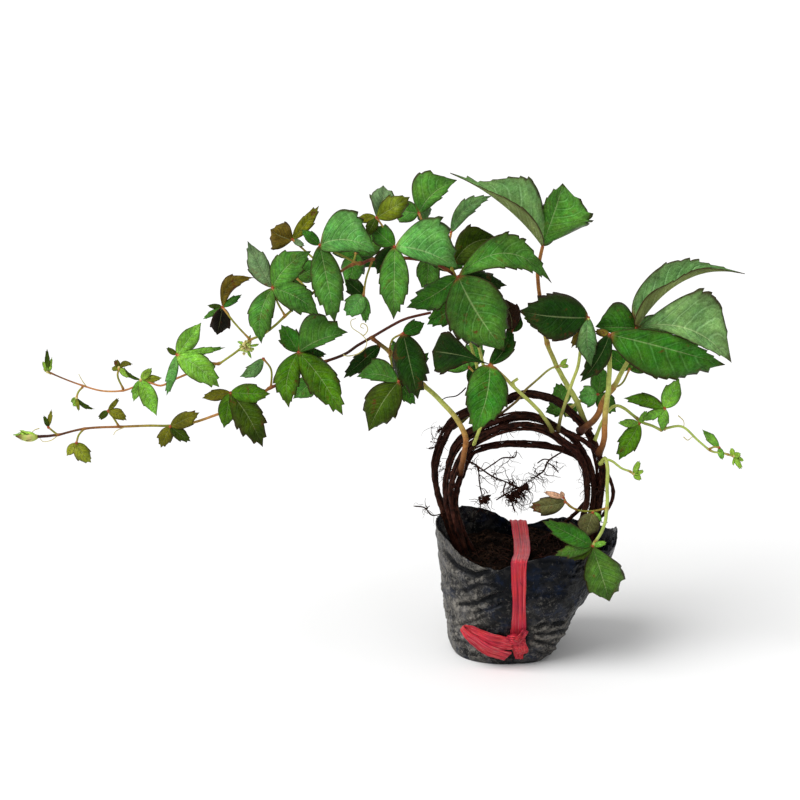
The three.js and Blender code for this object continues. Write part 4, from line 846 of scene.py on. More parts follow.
def leaf_materials():
    """The glossy upper side of the blades and their duller underside."""
    leaf = bpy.context.scene.creeper_leaf
    for name, upper in (("leaf_upper", True), ("leaf_underside", False)):
        finish = Finish(name, Specular_IOR_Level=0.05 if upper else 0.02)
        place = finish.place
        finish.base, blotched = tint_of(finish)
        veins = {"Surface": finish.map("surface"), "Veins": finish.map("veins"), "Place": place}
        midrib, side, net, margin, rim, panel = finish.group("leaf_veins", veins)
        finish.mottle(110.0, 0.55)
        # The underside's colour is its own paler green mixed with olive painted shade
        if not upper:
            finish.lay(0.65, leaf.underside)
        # Painted sheen: pale clouds on the cleaner leaves stand in for reflections of the bright surroundings
        cloud = finish.patches(95.0, 0.45, 0.3)
        clean = maths("SUBTRACT", 1.0, blotched)
        painted_sheen = times(times(cloud, clean), 0.38 if upper else 0.2)
        finish.lay(painted_sheen, paler(finish.base, 0.8, 1.7))
        shade = ramp(spread(place, 48.0, 1.0), 0.35, 0.65, 0.74, 1.18)
        # Painted shade of the quilting: darker beside the side veins, lighter between them
        swell = times_plus(panel, 0.2, 0.88)
        finish.base = paler(finish.base, 1.0, times(shade, swell))
        specks = ramp(spread(place, 620.0, 2.0), 0.56, 0.7)
        clear = maths("POWER", clean, 4.0)
        finish.lay(times(times(specks, clear), 0.22), paler(finish.base, 0.7, 2.2))
        lit = paler(finish.base, 0.85, 2.1)
        finish.lay(times(net, 0.2), lit)
        spots = finish.patches(520.0, 0.5, 0.1)
        both = times(finish.patches(150.0, 0.32, 0.1), times_plus(spots, 0.7, 0.5))
        stained = times(both, times(blotched, 2.2), clamp=True)
        finish.lay(stained, leaf.blotch)
        finish.lay(times(side, 0.62), lit)
        finish.lay(times(midrib, 0.85), mixed(0.4, lit, leaf.vein))
        finish.lay(times(rim, 0.36), leaf.margin)
        finish.lay(times(margin, 0.8), leaf.margin)
        relief = times_plus(side, -0.8, times(midrib, -1.0))
        relief = times_plus(net, -0.35, relief)
        relief = times_plus(spread(place, 300.0), 0.9, relief)
        relief = times_plus(spread(place, 1200.0), 0.2, relief)
        roughness = ramp(spread(place, 120.0), 0.3, 0.7, 0.3, 0.46) if upper else 0.62
        finish.end(roughness, relief, 0.45 * MM, 0.9)


def stem_material():
    """Green stems, stalks, joints and tendrils: the tint with faint streaks along them."""
    finish = Finish("green_stem", Specular_IOR_Level=0.1)
    finish.base, blotched = tint_of(finish)
    finish.mottle(160.0, 0.3)
    spots = finish.patches(420.0, 0.5, 0.06)
    finish.lay(times(spots, blotched, clamp=True), STEM_TINTS["umber"][:3])
    finish.end(0.45, spread(finish.place, 1100.0), 0.15 * MM, 0.5)


def bark_material():
    """Old bark: dark red-brown, furrowed lengthwise, with grey-brown ridges that show wear and painted
    highlights.
    """
    wood = bpy.context.scene.creeper_wood
    finish = Finish("old_bark", Specular_IOR_Level=0.05)
    ridges = spread(finish.stretched(finish.map("surface"), 26.0, 9.0, 1.0), 1.0, 5.0, 0.65)
    grain = spread(finish.place, 420.0, 5.0, 0.7)
    furrows = times_plus(grain, 0.4, times(ridges, 0.6))
    finish.base = mixed(ramp(furrows, 0.4, 0.6), wood.furrow, wood.bark)
    # Grey-brown on the ridges: wear, and painted highlights where the light catches them
    finish.lay(times(ramp(furrows, 0.55, 0.68), 0.5), wood.wear_and_highlight)
    finish.mottle(80.0, 0.35)
    finish.end(ramp(furrows, 0.35, 0.7, 0.75, 0.45), furrows, 0.5 * MM, 0.9)


def film_material():
    """Black film, blue-grey bloom, dried mud in wrinkles, painted sheen, shade and highlights, stretch lines.
    """
    bag = bpy.context.scene.creeper_bag
    finish = Finish("creased_film", Specular_IOR_Level=0.08)
    place = finish.place
    parts = finish.node("SeparateXYZ", {0: place}).outputs
    # Where dust lies: low down and up the left flank, which also marks where painted sheen lies
    low = ramp(parts[2], 0.01, 0.05, 1.0, 0.0)
    left = ramp(parts[0], -0.052, -0.012, 1.0, 0.0)
    worked = times(low, times_plus(left, 0.6, 0.4))
    flank = times(left, ramp(parts[2], 0.03, 0.068, 0.75, 0.4))
    dust_and_sheen = maths("MAXIMUM", worked, flank)
    bloom = finish.patches(110.0, 0.6, 0.4)
    finish.base = mixed(times(bloom, 0.9), bag.film, bag.bloom)
    wrinkles = finish.group("wrinkles", {"Vector": place, "Scale": 120.0})[0]
    painted_fold_shade, ridge, _ = finish.node("SeparateColor", {0: tint_of(finish)[0]}).outputs
    field = spread(place, 38.0, 3.0, 0.6, 0.5)
    grain = spread(place, 420.0, 6.0, 0.85, 0.3)
    # Dust and painted sheen: a soft pale veil of the dust colour over the left and the low film
    dust_and_sheen_veil = times(dust_and_sheen, ramp(field, 0.35, 0.65, 0.02, 0.2))
    finish.lay(dust_and_sheen_veil, bag.mud_and_sheen)
    caked = times_plus(dust_and_sheen, 0.1, grain)
    # Dust on the ridges beside the folds, which also paints their highlights
    caked = times_plus(ridge, 0.1, caked)
    caked = times_plus(maths("SUBTRACT", field, 0.5), 0.25, caked)
    dirt = ramp(caked, 0.55, 0.68)
    thick = times_plus(dust_and_sheen, 0.42, 0.28)
    finish.lay(times(dirt, thick), bag.mud_and_sheen)
    # Dust and painted highlights along the crests of the wrinkles
    crest_dust_and_highlight = times_plus(dust_and_sheen, 0.15, 0.02)
    finish.lay(times(ramp(wrinkles, 0.55, 0.7), crest_dust_and_highlight), bag.mud_and_sheen)
    # Painted shade: the fold grooves darkened to the clean black film
    finish.lay(ramp(painted_fold_shade, 0.2, 0.9, 0.0, 0.9), bag.film)
    lines = spread(finish.stretched(place, 60.0, 60.0, 900.0), 1.0, 3.0)
    relief = times_plus(lines, 0.3, wrinkles)
    relief = times_plus(dirt, 0.3, relief)
    roughness = times_plus(dirt, 0.45, ramp(bloom, 0.0, 1.0, 0.24, 0.38), clamp=True)
    finish.end(roughness, relief, 0.6 * MM, 0.9)


def soil_material():
    """Moist soil: near black, with brown fibre and paler grains."""
    soil = bpy.context.scene.creeper_soil
    finish = Finish("moist_soil", Specular_IOR_Level=0.02)
    clods = spread(finish.place, 300.0, 6.0, 0.7)
    finish.base = mixed(ramp(clods, 0.4, 0.72), soil.wet, soil.dry)
    dried = ramp(spread(finish.place, 70.0, 3.0), 0.42, 0.66, 0.04, 0.32)
    finish.lay(times(finish.patches(700.0, 0.5, 0.05), dried), soil.grit)
    finish.end(0.9, clods, 0.9 * MM, 1.0)


def ribbon_material():
    """Crimson raffia ribbon: fine ribs along it, pale patches of painted highlight, and a silky gloss."""
    ribbon = bpy.context.scene.creeper_ribbon
    finish = Finish("raffia_ribbon", Specular_IOR_Level=0.15, Anisotropic=0.4)
    along = finish.stretched(finish.map("surface"), 7.0, 26.0, 1.0)
    ribs = spread(along, 1.0, 4.0, 0.65)
    finish.base = mixed(ramp(ribs, 0.4, 0.6), ribbon.deep, ribbon.crimson)
    # Painted highlights: pale pink patches along the ribs
    finish.lay(times(finish.patches(0.9, 0.42, 0.1, along), 0.6), ribbon.painted_highlight)
    finish.mottle(110.0, 0.2)
    finish.end(ramp(ribs, 0.3, 0.7, 0.42, 0.28), ribs, 0.3 * MM, 0.8)


def materials():
    """Every material of the plant, made once."""
    if "leaf_upper" not in bpy.data.materials:
        for maker in (patches_group, mottle_group, wrinkles_group, leaf_veins_group, leaf_materials,
                      stem_material, bark_material, film_material, soil_material, ribbon_material):
            maker()
    return bpy.data.materials


# The finishes of a piece with leaves, and their places among them
PLANT = ("leaf_upper", "leaf_underside", "green_stem")
UPPER, UNDERSIDE, GREEN = range(3)


# Leaves and stems

BELLY = 0.44
JOINT_RADIUS = 0.85
STALK_RADIUS = 0.6
STALK_TINTS = ("rust", "olive", "olive", "flesh")
STEM_STEP = 1.6
# How near a stem a stalk's root lies, in millimetres, where the stem swells, and how far it swells along it
JOINT_NEAR = 4
KNOT_REACH = 1.5
# The solids' stems are thicker than the real ones. The first stem of a shoot widens at its foot.
STEM_SLIM = 0.74
FOOT_FLARE = 0.35
# The share of a leaflet's length that is reddened at its joint
RED_BASE = 0.06
BARE_BASE = 0.4
TOOTH_ROWS = 5
# The height of the edge from one tooth's start to its point, and where the drawn-out tip begins
TOOTH_RISE = (-0.3, 0.05, 0.4, 0.75, 1.0)
TEETH = [(10, 1), (17, 2), (27, 2), (38, 3), (50, 4), (62, 5), (inf, 6)]
DRAWN_FROM = 0.64
TIP_FROM = 0.88
# A leaflet that is folded further than this, in degrees, stays flat on both sides of its midrib
SHUT = 40
# Columns, rows below the teeth and rows of the tip, for a broad leaflet and for others
BROAD = 9
BROAD_GRID = (14, 12, 8)
SMALL_GRID = (6, 5, 4)
# The longest tooth as a share of the breadth, and how sharply teeth keep to the edge
TOOTH_SHARE = 0.065
TO_EDGE = 5
# The way from one side vein to the next, as a share of a long and of a short leaflet
LONG = 30
VEIN_PITCH = (0.13, 0.17)
WHOLE_TURN = 6.283
TAPER = 0.8
# The least breadth that a faster taper leaves, as a share of the plain one
SLIMMEST = 0.4
# What a leaflet has where its table leaves it out: arch, fold, roll, bow, lean, broadest place and taper
BLADE_DEFAULTS = (0, 14, 0, 0, 0, BELLY, TAPER)


def half_outline(share, belly, taper):
    """Half the breadth of a blade at a share of its length, as a share of its full half width."""
    if not 0 < share < 1:
        return 0.0
    plain = sin(pi * share ** (log(0.5) / log(belly)))
    swell = max(plain ** taper, SLIMMEST * plain ** TAPER) if share > belly else plain ** TAPER
    start = max(DRAWN_FROM, belly + 0.14)
    drawn = max(0.0, (share - start) / (1 - start))
    return swell * (1 - 0.6 * drawn ** 1.3)


def leaflet(body, joint, blade, tint, draw, hub):
    """One toothed leaflet: folded along its midrib, quilted between its veins and waved at its edges."""
    leaf = bpy.context.scene.creeper_leaf
    width = blade[3] * MM
    given = blade[4:]
    arch, fold, roll, bow, lean, belly, taper = given + BLADE_DEFAULTS[len(given):]
    along = seen(blade[:3]) - joint
    length = along.length
    along.normalize()
    normal = Quaternion(along, radians(roll)) @ square_to(along, EYE - joint)
    left = normal.cross(along)
    teeth = next(count for limit, count in TEETH if length <= limit * MM)
    columns, bare_rows, tip_rows = BROAD_GRID if width > BROAD * MM else SMALL_GRID
    rows = bare_rows + TOOTH_ROWS * teeth + tip_rows
    toothed = TIP_FROM - BARE_BASE
    starts = [0.0, *(number + draw.uniform(-0.25, 0.25) for number in range(1, teeth)), float(teeth)]
    starts = [BARE_BASE + toothed * start / teeth for start in starts]
    tooth = min(leaf.tooth, width * TOOTH_SHARE)
    bites = [[draw.uniform(0.0, 1.3) for _ in range(teeth)] for _ in range(2)]
    waves = [(draw.uniform(*ANY_TURN), draw.uniform(0.9, 2.2), draw.uniform(0.6, 1.6)) for _ in range(2)]
    swerve = draw.uniform(-0.1, 0.1) * length
    droop = draw.uniform(0.1, 0.5) * length
    tilt = radians(fold * (draw.uniform(1.2, 1.7) if fold <= 20 else 1))
    curl = draw.uniform(0.2, 0.6) * (1 if fold < SHUT else 0.1)
    vein_pitch = VEIN_PITCH[0] if length > LONG * MM else VEIN_PITCH[1]
    slim = 0.5 * width / length

    def share_at(row):
        """A row's share of the way along: rows are crowded where the teeth are."""
        turn = row - bare_rows
        if turn <= 0:
            return BARE_BASE * (row / bare_rows) ** 1.2
        if turn < TOOTH_ROWS * teeth:
            start, stop = starts[turn // TOOTH_ROWS:][:2]
            return start + (stop - start) * (turn % TOOTH_ROWS) / TOOTH_ROWS
        return TIP_FROM + (1 - TIP_FROM) * (turn - TOOTH_ROWS * teeth) / tip_rows

    def bite_at(row, side):
        """How far the edge stands out for a tooth at a row, and how far it leans ahead."""
        turn = row - bare_rows
        if not 0 < turn < TOOTH_ROWS * teeth:
            return 0.0, 0.0
        bite = bites[side][turn // TOOTH_ROWS]
        ahead = 0.3 * toothed / teeth if turn % TOOTH_ROWS == TOOTH_ROWS - 1 else 0.0
        return TOOTH_RISE[turn % TOOTH_ROWS] * bite * tooth, ahead * min(1, bite)

    def spot(row, column):
        """Where a place lies across and along the flat blade, its side and how far out it is."""
        across = 2 * column / columns - 1
        side = 1 if across > 0 else 0
        out, ahead = bite_at(row, side)
        share = share_at(row)
        half = 0.5 * width * half_outline(share, belly, taper)
        edge = abs(across) ** TO_EDGE
        reach = abs(across) * half + out * edge if half else 0.0
        return across, side, share + ahead * edge, reach

    def phase(share, across):
        """How many side veins lie between the base and a place: they arch towards the tip."""
        return (share - slim * (0.5 * abs(across) + 0.55 * across * across) - 0.03) / vein_pitch

    def place(row, column):
        across, side, share, reach = spot(row, column)
        sign = 1 if across > 0 else -1
        out = reach * (1 + sign * lean)
        bend = 4 * share * (1 - share)
        shift, beats, swing = waves[side]
        edge = across * across
        lift = arch * MM * bend + sin(tilt) * (hypot(out, 0.5 * MM) - 0.5 * MM)
        lift -= curl * out * edge * (1 + 0.6 * sin(4 * share + shift))
        lift += leaf.wave * width * swing * sin(WHOLE_TURN * beats * share + shift) * edge * bend
        swell = cos(WHOLE_TURN * phase(share, across))
        lift += leaf.quilt * width * swell * abs(across) * (1 - edge) * bend
        lift -= 0.012 * width * (1 - ease(abs(across), 0, 0.22)) * bend
        lift -= droop * max(0.0, share - DRAWN_FROM) ** 2
        sway = bow * MM * bend + swerve * max(0.0, share - DRAWN_FROM) ** 1.5
        return joint + along * (share * length) + normal * lift + left * (sway + sign * cos(tilt) * out)

    def veins(row, column):
        across, _, share, _ = spot(row, column)
        return phase(share, across), abs(across)

    shade = draw.uniform(0.82, 1.15)
    dyed = (*(shade * channel for channel in tint[:3]), tint[3])

    def dye(row, _):
        """The tint, reddened at the joint."""
        red = 0.8 * (1 - ease(share_at(row), 0, RED_BASE))
        return tuple(a + (b - a) * red for a, b in zip(dyed, hub))

    mesh = shaped_grid(rows, columns, place, dye, veins)
    thicken(mesh, leaf.blade)
    body.add(mesh, UPPER, UNDERSIDE)


def stem(body, points, radii, tints, joints, flare):
    """A green stem from its root to its tip, swollen and rusty where leaves leave it."""
    path = seen_line(points, STEM_STEP)
    knots = []
    for joint in joints:
        spot = min(range(len(path)), key=lambda at: (path[at] - joint).length)
        if (path[spot] - joint).length < JOINT_NEAR * MM:
            knots.append(spot / (len(path) - 1))
    length = (len(path) - 1) * STEM_STEP * MM
    colours = [STEM_TINTS[name] for name in tints.split()]

    def near_knot(share):
        swells = (exp(-(((share - knot) * length / (KNOT_REACH * MM)) ** 2)) for knot in knots)
        return max(swells, default=0.0)

    def radius(share, angle):
        start, stop = radii
        plump = start + (stop - start) * share
        ripple = 1 + 0.05 * sin(3 * angle + 40 * share)
        return plump * MM * ripple * (1 + 0.3 * near_knot(share)) * (1 + flare * (1 - ease(share, 0, 0.12)))

    def tint(share):
        plain = between(colours, share)
        swell = 0.75 * near_knot(share)
        return tuple(a + (b - a) * swell for a, b in zip(plain, STEM_TINTS["rust"]))

    body.add(tube(path, radius, 8, tint), GREEN)


def leaf(body, stalk, blades, tints, draw):
    """A stalk, its red joint and the leaflets that spread from it."""
    joint = seen(stalk[-1])
    path = seen_line(stalk, 1.2)
    colours = [STEM_TINTS[name] for name in STALK_TINTS]

    def radius(share, _):
        return STALK_RADIUS * MM * (1 + 0.45 * (1 - ease(share, 0, 0.2)) + 0.35 * ease(share, 0.85, 1))

    body.add(tube(path, radius, 7, lambda share: between(colours, share)), GREEN)
    size = JOINT_RADIUS * MM
    names = tints.split()
    hub = STEM_TINTS["tendril" if "young" in names else "hub"]
    body.add(pebble(joint, (size, size, size), draw, hub, 2), GREEN)
    for number, blade in enumerate(blades):
        leaflet(body, joint, blade, LEAF_TINTS[names[min(number, len(names) - 1)]], draw, hub)


def grow(table, seed, slim=STEM_SLIM, flare=FOOT_FLARE):
    """All the stems and leaves of one shoot."""
    body = Body()
    draw = random.Random(seed)
    joints = [seen(stalk[0]) for stalk, _, _ in table["leaves"]]
    for number, (root, tip, points, tints) in enumerate(table["stems"]):
        stem(body, points, (root * slim, tip * slim), tints, joints, 0 if number else flare)
    for stalk, blades, tints in table["leaves"]:
        leaf(body, stalk, blades, tints, draw)
    return body


def grow_all(seed, slot, shoots):
    """Makes each shoot a piece that stands for its node. Each has the next seed."""
    for number, (table, name, node) in enumerate(shoots):
        grow(table, seed + number).piece(name, PLANT, slot, node)


# The bag, the soil and the ribbon

def rim_height(turn):
    """The height of the torn rim at a turn, in millimetres."""
    spot = (turn / (2 * pi)) % 1 * len(RIM_RISE)
    first = int(spot)
    near = (RIM_RISE[(first + step) % len(RIM_RISE)] for step in (-1, 0, 1, 2))
    return BAG_HEIGHT + curve(*near, spot - first)


def on_bag(turn, share, inset=0.0):
    """A place on the bag's wall, in millimetres, at a turn about its axis and a share of its height."""
    opened = share ** 0.75
    centre = BASE_CENTRE + (RIM_CENTRE - BASE_CENTRE) * opened
    half_width = BASE_HALF[0] + (RIM_HALF[0] - BASE_HALF[0]) * opened
    half_depth = BASE_HALF[1] + (RIM_HALF[1] - BASE_HALF[1]) * opened
    crease = CREASE * sin(7 * turn + 5 * share) * sin(3 * turn - 4 * share) * min(1, 4 * share)
    x, y = cos(turn), sin(turn)
    half_width -= SLACK * max(0.0, x) ** 1.5 * (1 - ease(share, 0.2, 1.05))
    half_depth -= TUCK * max(0.0, -y) * (1 - ease(share, 0, 0.6))
    pinch = copysign(PINCH, y) * near_tie(centre + half_width * x) * min(1, 2 * share + 0.3)
    return Vector((
        centre + (half_width + crease - inset) * x,
        (half_depth + crease - inset) * y - pinch,
        share * rim_height(turn),
    ))


def near_tie(x):
    """1 where the band pinches the bag, and less away from it."""
    return exp(-(((x - TIE_SIDE) / 7) ** 2))


def under_band(x):
    """1 where the band holds the film flat, and 0 away from it."""
    return 1 - ease(abs(x - TIE_SIDE), 5, 11)


def fold_depth(place):
    """How far the film's folds press it in at a place on its front."""
    if place.y > -8 * MM:
        return 0.0
    at = Vector(looked_at(place))
    pressed = 0.0
    for line, depth, half in FILM_FOLDS:
        nearest = min(distance_to(at, Vector(a), Vector(b)) for a, b in zip(line, line[1:])) / half
        pressed += depth * (exp(-(nearest ** 2)) - 0.5 * exp(-((nearest - 2.0) ** 2)))
    return DEEPEST_FOLD * tanh(pressed / DEEPEST_FOLD)


def distance_to(at, start, stop):
    """How far a place lies from a straight line's stretch."""
    way = stop - start
    share = min(1.0, max(0.0, (at - start).dot(way) / way.length_squared))
    return (at - start - way * share).length


def crumple(place):
    """The film's own creases, in millimetres: long folds, sharp creases and small dents."""
    spot = Vector((place.x, place.y, 1.5 * place.z)) / MM
    bent = spot + 3 * Vector((noise(spot / 8), noise(spot / 8 + Vector((9, 0, 0))), 0))
    total = 1.1 * noise(spot / 15)
    for size, height, sharpness in CREASES:
        near, next_near = voronoi(bent / size + Vector((size, 0, 0)))[0][:2]
        ridge = exp(-(((next_near - near) / sharpness) ** 2))
        side = max(-0.8, min(1.0, 4 * noise(spot / 11 + Vector((0, size, 0)))))
        total += height * side * ridge
    grains = 0.3 * noise(spot / 3.4) + 0.2 * noise(spot / 1.9)
    return total + grains * (0.4 + 0.9 * (1 - ease(place.z, 0.02, 0.05)))


# The film's grid round its axis, up its wall and from the middle of its underside
BAG_TURNS = 400
BAG_WALL_ROWS = 100
BAG_FLOOR_ROWS = 8
FOOT_ROUND = 1.2
# Faces below these heights, in millimetres, lie on the underside
FILM_UNDER = 1
SOIL_UNDER = 4
# The soil's grid, the shares of the bag's height where its wall starts and ends, and how far inside the film
SOIL_TURNS = 96
SOIL_WALL_ROWS = 12
SOIL_TOP_ROWS = 40
SOIL_FOOT = 0.04
SOIL_SHOULDER = (SOIL_TOP - 3) / BAG_HEIGHT
SOIL_INSET = 3.4
# Dead roots: their bends and the way from one to the next
FIBRE_BENDS = 5
FIBRE_STEP = 3.4


def film_place(turn, share, inset=0.0):
    """A place on the creased film, in metres, and how far a fold presses it in, in millimetres."""
    bag = bpy.context.scene.creeper_bag
    wall = on_bag(turn, share, inset)
    out = way_of(turn)
    free = 1 - under_band(wall.x)
    wall -= FOOT_ROUND * (1 - ease(share, 0, 0.06)) * out
    point = wall * MM
    loose = (0.15 + 0.85 * free) * ease(share, 0, 0.08) * (1 - 0.5 * ease(share, 0.86, 1))
    point += out * bag.crumple * loose * crumple(point)
    facing = ease(-sin(turn), 0.15, 0.6)
    pressed = fold_depth(point) * ease(share, 0.02, 0.1) * free * facing
    return point - out * MM * pressed, pressed


def face_outwards(mesh, foot):
    """Turns the faces over where those below a height, on the underside, look up."""
    if sum(face.normal.z for face in mesh.faces if face.calc_center_median().z < foot) > 0:
        bmesh.ops.reverse_faces(mesh, faces=mesh.faces)


def bag_film():
    """The film from the middle of its underside, out and up to the torn rim."""
    @functools.cache
    def wall(row, turn):
        return film_place(turn, max(0, row - BAG_FLOOR_ROWS) / BAG_WALL_ROWS)

    def pressed(row, column):
        """Grooves in red for painted shade, ridges beside them in green for dust and painted highlights."""
        depth = wall(row, turn_of(column, BAG_TURNS))[1] if row >= BAG_FLOOR_ROWS else 0.0
        return max(0.0, depth), max(0.0, -depth), 0.0, 0.0

    def place(row, column):
        turn = turn_of(column, BAG_TURNS)
        if row >= BAG_FLOOR_ROWS:
            point = wall(row, turn)[0].copy()
            if row == BAG_FLOOR_ROWS + BAG_WALL_ROWS:
                point.z += 1.1 * MM * noise(Vector((12 * cos(turn), 12 * sin(turn), 2)))
            return point
        part = row / BAG_FLOOR_ROWS
        pleat = 0.35 * MM * (1 + sin(19 * turn + 5 * part)) * part * (1 - part)
        return Vector((BASE_CENTRE * MM, 0, 0)).lerp(wall(0, turn)[0], part) + Vector((0, 0, pleat))

    mesh = shaped_grid(BAG_FLOOR_ROWS + BAG_WALL_ROWS, BAG_TURNS, place, pressed)
    face_outwards(mesh, FILM_UNDER * MM)
    thicken(mesh, bpy.context.scene.creeper_bag.film_thickness)
    body = Body()
    body.add(mesh)
    return body


def soil_height(spot):
    """How high the soil stands at a place across and behind the bag's middle, in millimetres."""
    lumps = 1.6 * sin(0.21 * spot.x + 1) * cos(0.17 * spot.y) + 0.6 * sin(0.5 * spot.x)
    reach = Vector((spot.x - RIM_CENTRE, spot.y)).length / RIM_HALF[1]
    grain = 1.3 * noise(spot / 6) + 0.8 * noise(spot / 2.3)
    return SOIL_TOP + 2.5 * (1 - reach * reach) + 0.8 * lumps + grain - 3 * near_tie(spot.x)


def soil_block():
    """The filled bag's soil: its underside, the wall behind the film and the lumpy top."""
    def place(row, column):
        turn = turn_of(column, SOIL_TURNS)
        if row == 0:
            return Vector((BASE_CENTRE, 0, BAG_FLOOR)) * MM
        share = SOIL_FOOT + (SOIL_SHOULDER - SOIL_FOOT) * min(1, (row - 1) / SOIL_WALL_ROWS)
        wall = film_place(turn, share, SOIL_INSET)[0]
        if row <= SOIL_WALL_ROWS + 1:
            wall.z = max(wall.z, BAG_FLOOR * MM)
            return wall
        part = (row - SOIL_WALL_ROWS - 1) / SOIL_TOP_ROWS
        middle = Vector((RIM_CENTRE * MM, 0, wall.z))
        point = wall.lerp(middle, part)
        point.z = soil_height(Vector((point.x, point.y, 0)) / MM) * MM
        return point

    mesh = shaped_grid(1 + SOIL_WALL_ROWS + SOIL_TOP_ROWS, SOIL_TURNS, place)
    face_outwards(mesh, SOIL_UNDER * MM)
    return mesh


def on_soil(draw, reach=0.88):
    """A random place on the soil's top, in millimetres."""
    turn, out = draw.uniform(0, 2 * pi), reach * sqrt(draw.random())
    across = RIM_CENTRE + (RIM_HALF[0] - 4) * out * cos(turn)
    spot = Vector((across, (RIM_HALF[1] - 5) * out * sin(turn), 0))
    spot.z = soil_height(spot)
    return spot


def soil_bed():
    """The soil with its crumbs and the fine dead roots that lie on it."""
    soil = bpy.context.scene.creeper_soil
    draw = random.Random(41)
    body = Body()
    body.add(soil_block())
    for _ in range(soil.crumbs):
        size = draw.uniform(0.7, 2.2) * MM
        place = on_soil(draw) * MM
        body.add(pebble(place, (size, size * draw.uniform(0.6, 1), size * 0.7), draw))
    for _ in range(soil.fibres):
        start, turn = on_soil(draw, 0.8), draw.uniform(*ANY_TURN)
        run = [start]
        for _ in range(FIBRE_BENDS):
            turn += draw.uniform(-0.8, 0.8)
            spot = run[-1] + FIBRE_STEP * way_of(turn)
            spot.z = soil_height(spot) + draw.uniform(0.2, 1.4)
            run.append(spot)
        thick = draw.uniform(0.16, 0.4) * MM
        path = smooth_line([spot * MM for spot in run], 2 * MM)
        body.add(tube(path, tapering(thick, 0.5), 5), 1)
    return body


def spline(values, share):
    """A tuple of values on a smooth line through a list of them."""
    spot = min(share * (len(values) - 1), len(values) - 1.0001)
    first = int(spot)
    t = spot - first
    start, stop = values[first], values[first + 1]
    before = values[first - 1] if first else [2 * b - c for b, c in zip(start, stop)]
    after = values[first + 2] if first + 2 < len(values) else [2 * c - b for b, c in zip(start, stop)]
    return tuple(curve(*four, t) for four in zip(before, start, stop, after))


def curve(a, b, c, d, t):
    """The smooth line's value between b and c."""
    return b + 0.5 * t * (c - a + t * (2 * a - 5 * b + 4 * c - d + t * (3 * (b - c) + d - a)))


def strip(body, rungs, rows, draw, pleats):
    """A ribbon between two edges that the rungs hold apart, with ribs that run along it."""
    columns = 20
    ribs = [(draw.uniform(2.2, 5.5), draw.uniform(*ANY_TURN), draw.uniform(0.06, 0.16)) for _ in range(4)]
    rungs = [(*first, *second) for first, second in rungs]
    edge_shift = draw.uniform(-9, 9)

    def rung(share):
        values = spline(rungs, share)
        return Vector(values[:3]), Vector(values[3:])

    def place(row, column):
        share, across = row / rows, column / columns
        first, second = rung(share)
        ahead = (rung(min(1, share + 0.01))[0] - rung(max(0, share - 0.01))[0]).normalized()
        normal = ahead.cross(second - first).normalized()
        ragged = 0.02 * noise(Vector((row / 7, 5 * across, edge_shift)))
        lift = sum(size * sin(2 * pi * beats * across + turn + 0.8 * sin(9 * share + turn))
                   for beats, turn, size in ribs)
        lift += 0.35 * noise(Vector((share * rows / 5, across * 2.2, edge_shift)))
        return (first.lerp(second, across + ragged * abs(2 * across - 1)) + normal * lift * pleats) * MM

    mesh = shaped_grid(rows, columns, place)
    thicken(mesh, bpy.context.scene.creeper_ribbon.thickness)
    body.add(mesh)


def turn_across(across, share, turn, step, rounds):
    """The turn near a given one at which the wall stands at a place across, found step by step."""
    for _ in range(rounds):
        turn += (on_bag(turn, share).x - across) / step
    return turn


def on_front(across, up, proud):
    """A place that stands proud of the front of the bag, in millimetres, where it is seen across and up."""
    guess = seen((across, up, -BASE_HALF[1])) / MM
    share = max(0.03, guess.z / BAG_HEIGHT)
    turn = turn_across(guess.x, share, -pi / 2, -60, 12)
    return on_bag(turn, share, -proud)


def tie_wall(share, front):
    """The middle of the band where it crosses the wall, in millimetres."""
    sign = -1 if front else 1
    turn = turn_across(TIE_SIDE, share, sign * pi / 2, sign * 50, 8)
    place = on_bag(turn, share, -(TIE_THICK / 2 + 2 * GAP))
    place.x = TIE_SIDE
    return place


def band_rungs():
    """The right and left edges of the band, from the knot up, over the bag, down behind and back under it."""
    front, back = tie_wall(1, True), tie_wall(1, False)
    over = Vector((0, 0, TIE_THICK / 2 + 2 * GAP + 0.4))
    under = BASE_HALF[1] - PINCH - 3
    middle = (front.z + back.z) / 2 - 1
    line = [
        (tie_wall(0.06, True), 4.4), (tie_wall(0.13, True), 6.2), (tie_wall(0.22, True), 8.6),
        (tie_wall(0.4, True), 8.8), (tie_wall(0.6, True), 7.6), (tie_wall(0.8, True), 8.3),
        (tie_wall(0.97, True), 9.0), (front + over + Vector((0, 1.6, 0)), 9.4),
        (Vector((TIE_SIDE, front.y + 22, front.z - 1)), 9.4), (Vector((TIE_SIDE, 0, middle)), 9.6),
        (Vector((TIE_SIDE, back.y - 22, back.z - 1.5)), 9.8), (back + over - Vector((0, 1.6, 0)), 9.8),
        (tie_wall(0.95, False), 8.4), (tie_wall(0.6, False), 7.8), (tie_wall(0.3, False), 8.2),
        (tie_wall(0.06, False), 8.0),
        *((Vector((UNDER_SIDE, y, 0.35)), UNDER_WIDTH) for y in (under, 20, 5, -10)),
        (Vector((UNDER_SIDE, TUCK + 2 - under, 0.35)), 4.2),
    ]
    sway = [0.8, 0.2, -0.2, -0.2, -0.2, -0.6, -0.8, -0.2, 2.0, 3.4, 4.0, 3.4, 1.6]
    rungs = []
    for number, (spot, width) in enumerate(line):
        shift = sway[number] if number < len(sway) else 0
        rungs.append((spot + Vector((shift + width / 2, 0, 0)), spot + Vector((shift - width / 2, 0, 0))))
    return rungs


